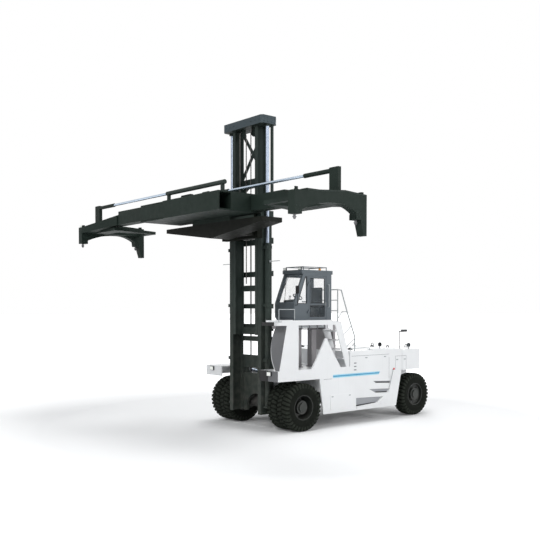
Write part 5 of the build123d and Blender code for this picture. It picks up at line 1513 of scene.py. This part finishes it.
    def crown(self) -> None:
        """Sheathe the crown in slate plates round its sides and over its top."""
        out, cut = self.crown_proud, self.crown_cut
        x0, x1, y1 = self.crown_back - out, self.crown_front + out, self.side_y + out
        outline = [(x0 + cut, -y1), (x1 - cut, -y1), (x1, -y1 + cut), (x1, y1 - cut),
                   (x1 - cut, y1), (x0 + cut, y1), (x0, y1 - cut), (x0, -y1 + cut)]
        plates = Shape().prism(outline, Axis.Z, *self.crown_levels)
        plates.piece("crown_plates", "crown slate paint", "inner_mast", "mast_paint")

    def feelers(self) -> None:
        """Stand thin marker rods out from the outer mast's sides, each in a small clamp."""
        rods = Shape()
        clamps = Shape()
        x = self.feeler_x
        for side, z in self.feeler_places:
            rods.bar((x, side * 1.085, z), (x, side * self.feeler_tip, z), 0.012, 12)
            clamps.box((x - 0.04, side * self.side_y, z - 0.035), (x + 0.04, side * 1.10, z + 0.035), 0.006)
        rods.piece("mast_feelers", "rail grey paint", "outer_mast", "rail_paint")
        clamps.piece("feeler_clamps", "bolt steel", "outer_mast", "lock_steel")

    def build(self) -> None:
        """Fit every piece of the mast."""
        self.feelers()
        self.chains()
        self.hoses()
        self.hardware()
        self.crown()


@dataclass
class SpreaderTrim:
    """Bolts, pipes, lamps and edge strips of the carriage and the spreader."""

    top: float = 7.62
    valve_top: float = 7.81
    pipe_radius: float = 0.011
    pipe_level: float = 7.645
    pipe_x: float = 2.44
    end_y: float = 6.1175
    end_rim: Outline = ((1.40, 7.235), (2.20, 7.285), (3.15, 7.205), (3.60, 7.205), (3.60, 7.175),
                        (3.15, 7.175), (2.20, 7.255), (1.40, 7.205))

    def frame(self) -> None:
        """Bolt the main frame, and pipe and bolt its valve box."""
        pipes = Shape()
        x = self.pipe_x
        for k in range(4):
            y = -0.46 + k * 0.11
            far = (x, -1.2 - 0.04 * k, self.pipe_level)
            route = [(2.50, y, 7.74), (x, y, 7.74), (x, y - 0.05, 7.66), far]
            pipes.pipe(route, self.pipe_radius, 8, 0.05)
        route = [(3.12, -0.3, 7.72), (3.18, -0.3, 7.70), (3.18, 1.2, self.pipe_level)]
        pipes.pipe(route, self.pipe_radius, 8, 0.05)
        pipes.piece("spreader_pipes", "black rubber trim", "carriage", "console_plastic", 60)
        places = [(x, s * y, self.top) for y in (0.9, 1.2, 1.7, 2.15) for s in SIDES for x in (2.46, 3.15)]
        bolts("frame_bolts", places, Axis.Z, 0.014, "carriage", "mast_paint", "mast paint")
        places = [(x, y, self.valve_top) for x in (2.55, 3.06) for y in (-0.47, -0.11)]
        bolts("valve_bolts", places, Axis.Z, 0.012, "carriage", "lock_steel")
        coils = Shape()
        for x in (2.70, 2.92):
            coils.box((x - 0.06, -0.40, self.valve_top), (x + 0.06, -0.18, self.valve_top + 0.04), 0.008)
        coils.piece("valve_coils", "black rubber trim", "carriage", "console_plastic")

    def carriage(self) -> None:
        """Bolt the carriage's plates."""
        places = [(1.10, s * y, z) for s in SIDES for y in (0.30, 0.52, 0.90) for z in (7.47, 7.63)]
        bolts("carriage_bolts", places, Axis.X, 0.018, "carriage", "mast_paint", "mast paint")

    def ends(self) -> None:
        """Dress each end frame with bolts, an edge strip and a lamp."""
        for s, hand in HANDS:
            body = f"arm_{hand}"
            places = [(x, s * self.end_y, z) for x in (1.62, 1.74, 3.86, 3.98) for z in (6.62, 6.74)]
            bolts(f"end_bolts_{hand}", places, Axis.Y, 0.016, body, "mast_paint", "mast paint")
            rim = Shape().prism(self.end_rim, Axis.Y, s * self.end_y, s * (self.end_y + 0.006))
            rim.piece(f"end_rim_{hand}", "mast paint", body, "mast_paint")
            lamp = Shape().box((3.99, s * 5.93, 7.14), (4.036, s * 6.05, 7.23), 0.01)
            lamp.piece(f"end_lamp_{hand}", "lamp lens", body, "lamp_lens")

    def build(self) -> None:
        """Fit every piece of the spreader."""
        self.frame()
        self.carriage()
        self.ends()


@dataclass
class AccessTrim:
    """Grating and lines of the platform, and treads of the stairs."""

    top: float = 3.65
    deck: float = 2.06
    foot_x: float = -2.235
    top_x: float = -1.54
    steps: int = 5
    bars: int = 44
    bar_step: float = 0.05
    tread_y: Flat = (1.345, 1.945)
    tread_x: Flat = (-0.205, 0.045)
    edge_y: float = 1.93
    line_start: float = 0.16
    line_end: float = -1.16
    pipe_levels: tuple[float, ...] = (3.505, 3.470)
    clip_places: tuple[float, ...] = (-0.02, -0.38, -0.74, -1.08)

    def grating(self) -> None:
        """Lay raised anti-slip bars on the platform's walkway by a row pattern."""
        seed = Shape().box((-1.30, 1.26, self.top), (-1.285, 1.90, self.top + 0.006)).mesh("grating bar", 0)
        PATTERNS(Row).grow("walkway_bars", seed, "rail grey paint", "chassis", "rail_paint",
                           Count=self.bars, Step=(self.bar_step, 0, 0))

    def treads(self) -> None:
        """Cap each stair tread with a dark strip."""
        shape = Shape()
        for i in range(1, self.steps):
            x = self.foot_x + 0.14 + (self.top_x - self.foot_x - 0.14) * i / self.steps
            z = self.deck + (self.top - self.deck) * i / self.steps
            low = (x + self.tread_x[0], self.tread_y[0], z)
            shape.box(low, (x + self.tread_x[1], self.tread_y[1], z + 0.004))
        shape.piece("tread_strips", "tower shade paint", "chassis", "chassis_dark")

    def lines(self) -> None:
        """Clip the pipes and the hose of the cab under the platform's outer edge."""
        pipes = Shape()
        hose = Shape()
        clips = Shape()
        start, end, y = self.line_start, self.line_end, self.edge_y
        for z in self.pipe_levels:
            pipes.pipe([(start, 1.60, z), (start, y, z), (end, y, z), (end, 1.60, z)], 0.014, 10, 0.06)
        route = [(start, 1.55, 3.43), (start, y, 3.425), (-0.5, y, 3.41), (end, y, 3.43), (end, 1.55, 3.43)]
        hose.pipe(route, 0.018, 10, 0.08)
        for x in self.clip_places:
            clips.box((x - 0.02, y - 0.025, 3.40), (x + 0.02, y + 0.028, 3.541), 0.004)
        pipes.piece("platform_pipes", "rail grey paint", "chassis", "rail_paint", 60)
        hose.piece("platform_hose", "black rubber trim", "chassis", "console_plastic", 60)
        clips.piece("platform_clips", "leg shade grey paint", "chassis", "lock_steel")

    def build(self) -> None:
        """Fit every piece."""
        self.lines()
        self.grating()
        self.treads()


@dataclass
class Studio:
    """A white floor and backdrop, soft lamps and the camera of the photograph."""

    eye: Point = (16.943, 20.515, 4.123)
    turn: float = 225.0
    yaw: float = 0.088
    pitch: float = -0.03
    lens: float = 50.408
    shift_x: float = 0.0011
    shift_y: float = 0.1121
    sensor: float = 36
    floor_size: float = 400
    fade: tuple[float, ...] = (9, 23, 0.04, 1.0)
    sky: float = 0.42
    lamps: tuple[tuple[str, Point, Point, float, float], ...] = (
        ("front lamp", (19, 8, 15), (0, 0, 4), 9, 1650), ("side lamp", (-5, 24, 13), (0, 0, 3), 10, 2150),
        ("top lamp", (-1, 1, 26), (0, 0, 2), 8, 2100), ("back lamp", (-17, -15, 14), (0, 0, 4), 10, 1300))

    def floor(self) -> None:
        """Lay a wide white floor that shows the machine's shadow and fades into the backdrop."""
        g = Graph("studio floor")
        g.set(Base_Color=(0.93, 0.93, 0.935, 1), Roughness=0.85, Specular_IOR_Level=0.2)
        away = g.node("ShaderNodeVectorMath", operation="LENGTH")
        g.link(g.place, away.inputs[0])
        path = g.node("ShaderNodeLightPath").outputs
        seen = path["Is Camera Ray"]
        for kind in ("Is Transmission Ray", "Is Glossy Ray"):
            more = g.node("ShaderNodeMath", operation="MAXIMUM")
            g.link(seen, more.inputs[0])
            g.link(path[kind], more.inputs[1])
            seen = more.outputs[0]
        fade = g.remap(away.outputs["Value"], *self.fade)
        glow = g.node("ShaderNodeEmission", Color=(1, 1, 1, 1), Strength=g.times(fade, seen))
        both = g.node("ShaderNodeAddShader")
        g.link(g.shader.outputs[0], both.inputs[0])
        g.link(glow.outputs[0], both.inputs[1])
        g.link(both.outputs[0], g.output.inputs["Surface"])
        bm = bmesh.new()
        bmesh.ops.create_grid(bm, x_segments=1, y_segments=1, size=self.floor_size)
        mesh = bpy.data.meshes.new("studio_floor")
        bm.to_mesh(mesh)
        bm.free()
        mesh.materials.append(g.material)
        made = bpy.data.objects.new("studio_floor", mesh)
        bpy.context.scene.collection.objects.link(made)

    def lamp(self, name: str, place: Point, target: Point, size: float, power: float) -> None:
        """Hang a soft square lamp that looks at a target.

        Args:
            name: The lamp's name.
            place: Where it hangs.
            target: What it looks at.
            size: The length of its sides.
            power: Its power in watts.
        """
        data = bpy.data.lights.new(name, "AREA")
        data.shape = "SQUARE"
        data.size = size
        data.energy = power
        made = bpy.data.objects.new(name, data)
        made.location = place
        made.rotation_euler = (Vector(target) - Vector(place)).to_track_quat("-Z", "Y").to_euler()
        bpy.context.scene.collection.objects.link(made)

    def world(self) -> None:
        """Light all round, and white where the camera looks past the machine."""
        world = bpy.data.worlds.new("studio")
        bpy.context.scene.world = world
        world.use_nodes = True
        tree = world.node_tree
        tree.nodes.clear()
        out = tree.nodes.new("ShaderNodeOutputWorld")
        mix = tree.nodes.new("ShaderNodeMixShader")
        path = tree.nodes.new("ShaderNodeLightPath")
        soft = tree.nodes.new("ShaderNodeBackground")
        soft.inputs["Color"].default_value = (0.95, 0.98, 1.0, 1)
        soft.inputs["Strength"].default_value = self.sky
        white = tree.nodes.new("ShaderNodeBackground")
        white.inputs["Color"].default_value = (1, 1, 1, 1)
        white.inputs["Strength"].default_value = 1.0
        seen = path.outputs["Is Camera Ray"]
        for kind in ("Is Transmission Ray", "Is Glossy Ray"):
            more = tree.nodes.new("ShaderNodeMath")
            more.operation = "MAXIMUM"
            tree.links.new(seen, more.inputs[0])
            tree.links.new(path.outputs[kind], more.inputs[1])
            seen = more.outputs[0]
        tree.links.new(seen, mix.inputs[0])
        tree.links.new(soft.outputs[0], mix.inputs[1])
        tree.links.new(white.outputs[0], mix.inputs[2])
        tree.links.new(mix.outputs[0], out.inputs["Surface"])

    def camera(self) -> None:
        """Stand the camera where the photograph was taken from."""
        data = bpy.data.cameras.new("photograph")
        data.lens = self.lens
        data.sensor_width = self.sensor
        data.sensor_fit = "HORIZONTAL"
        data.shift_x = self.shift_x
        data.shift_y = self.shift_y
        data.clip_end = 900
        made = bpy.data.objects.new("photograph", data)
        made.location = station(*self.eye)
        heading = math.radians(self.turn) + self.yaw
        look = Vector((math.cos(heading) * math.cos(self.pitch), math.sin(heading) * math.cos(self.pitch),
                       math.sin(self.pitch)))
        made.rotation_euler = look.to_track_quat("-Z", "Y").to_euler()
        bpy.context.scene.collection.objects.link(made)
        bpy.context.scene.camera = made

    def build(self) -> None:
        """Set the whole studio."""
        self.floor()
        self.world()
        for lamp in self.lamps:
            self.lamp(*lamp)
        self.camera()
        bpy.context.scene.view_settings.view_transform = "Standard"


NODES_OF = {
    "frame black paint": "chassis_frame drive_axle steer_axle",
    "engine grey": "engine_block",
    "body white paint": "side_panels fenders rear_deck hood counterweight cab_tower platform ladder",
    "tower shade paint": "tower_columns",
    "rail grey paint": "handrails",
    "cab slate paint": "cab_shell cab_door roof_guard",
    "cab glass": "cab_glass door_glass",
    "console plastic": "controls lamps",
    "mast paint": "outer_mast lift_barrels inner_mast extension_barrels tilt_barrels",
    "lift rod chrome": "lift_rods",
    "carriage shadow paint": "carriage",
    "spreader paint": "spreader_frame",
    "rod chrome": "tilt_rods extension_rod_left extension_rod_right",
    "arm paint": "spreader_arm_left spreader_arm_right",
    "lock steel": "twistlocks_left twistlocks_right",
    "seat cloth": "seat",
    "black rubber trim": "mirrors",
    "chain steel": "lift_chains",
}


def main() -> None:
    """Dress the carried-over nodes, build each sub-assembly and set the studio."""
    logging.basicConfig(level=logging.INFO, format="%(message)s")
    for finish, nodes in NODES_OF.items():
        for node in nodes.split():
            dress(node, finish)
    for assembly in (RunningGear, BodyTrim, CabTrim, MastTrim, SpreaderTrim, AccessTrim, Studio):
        assembly().build()


if __name__ == "__main__":
    main()
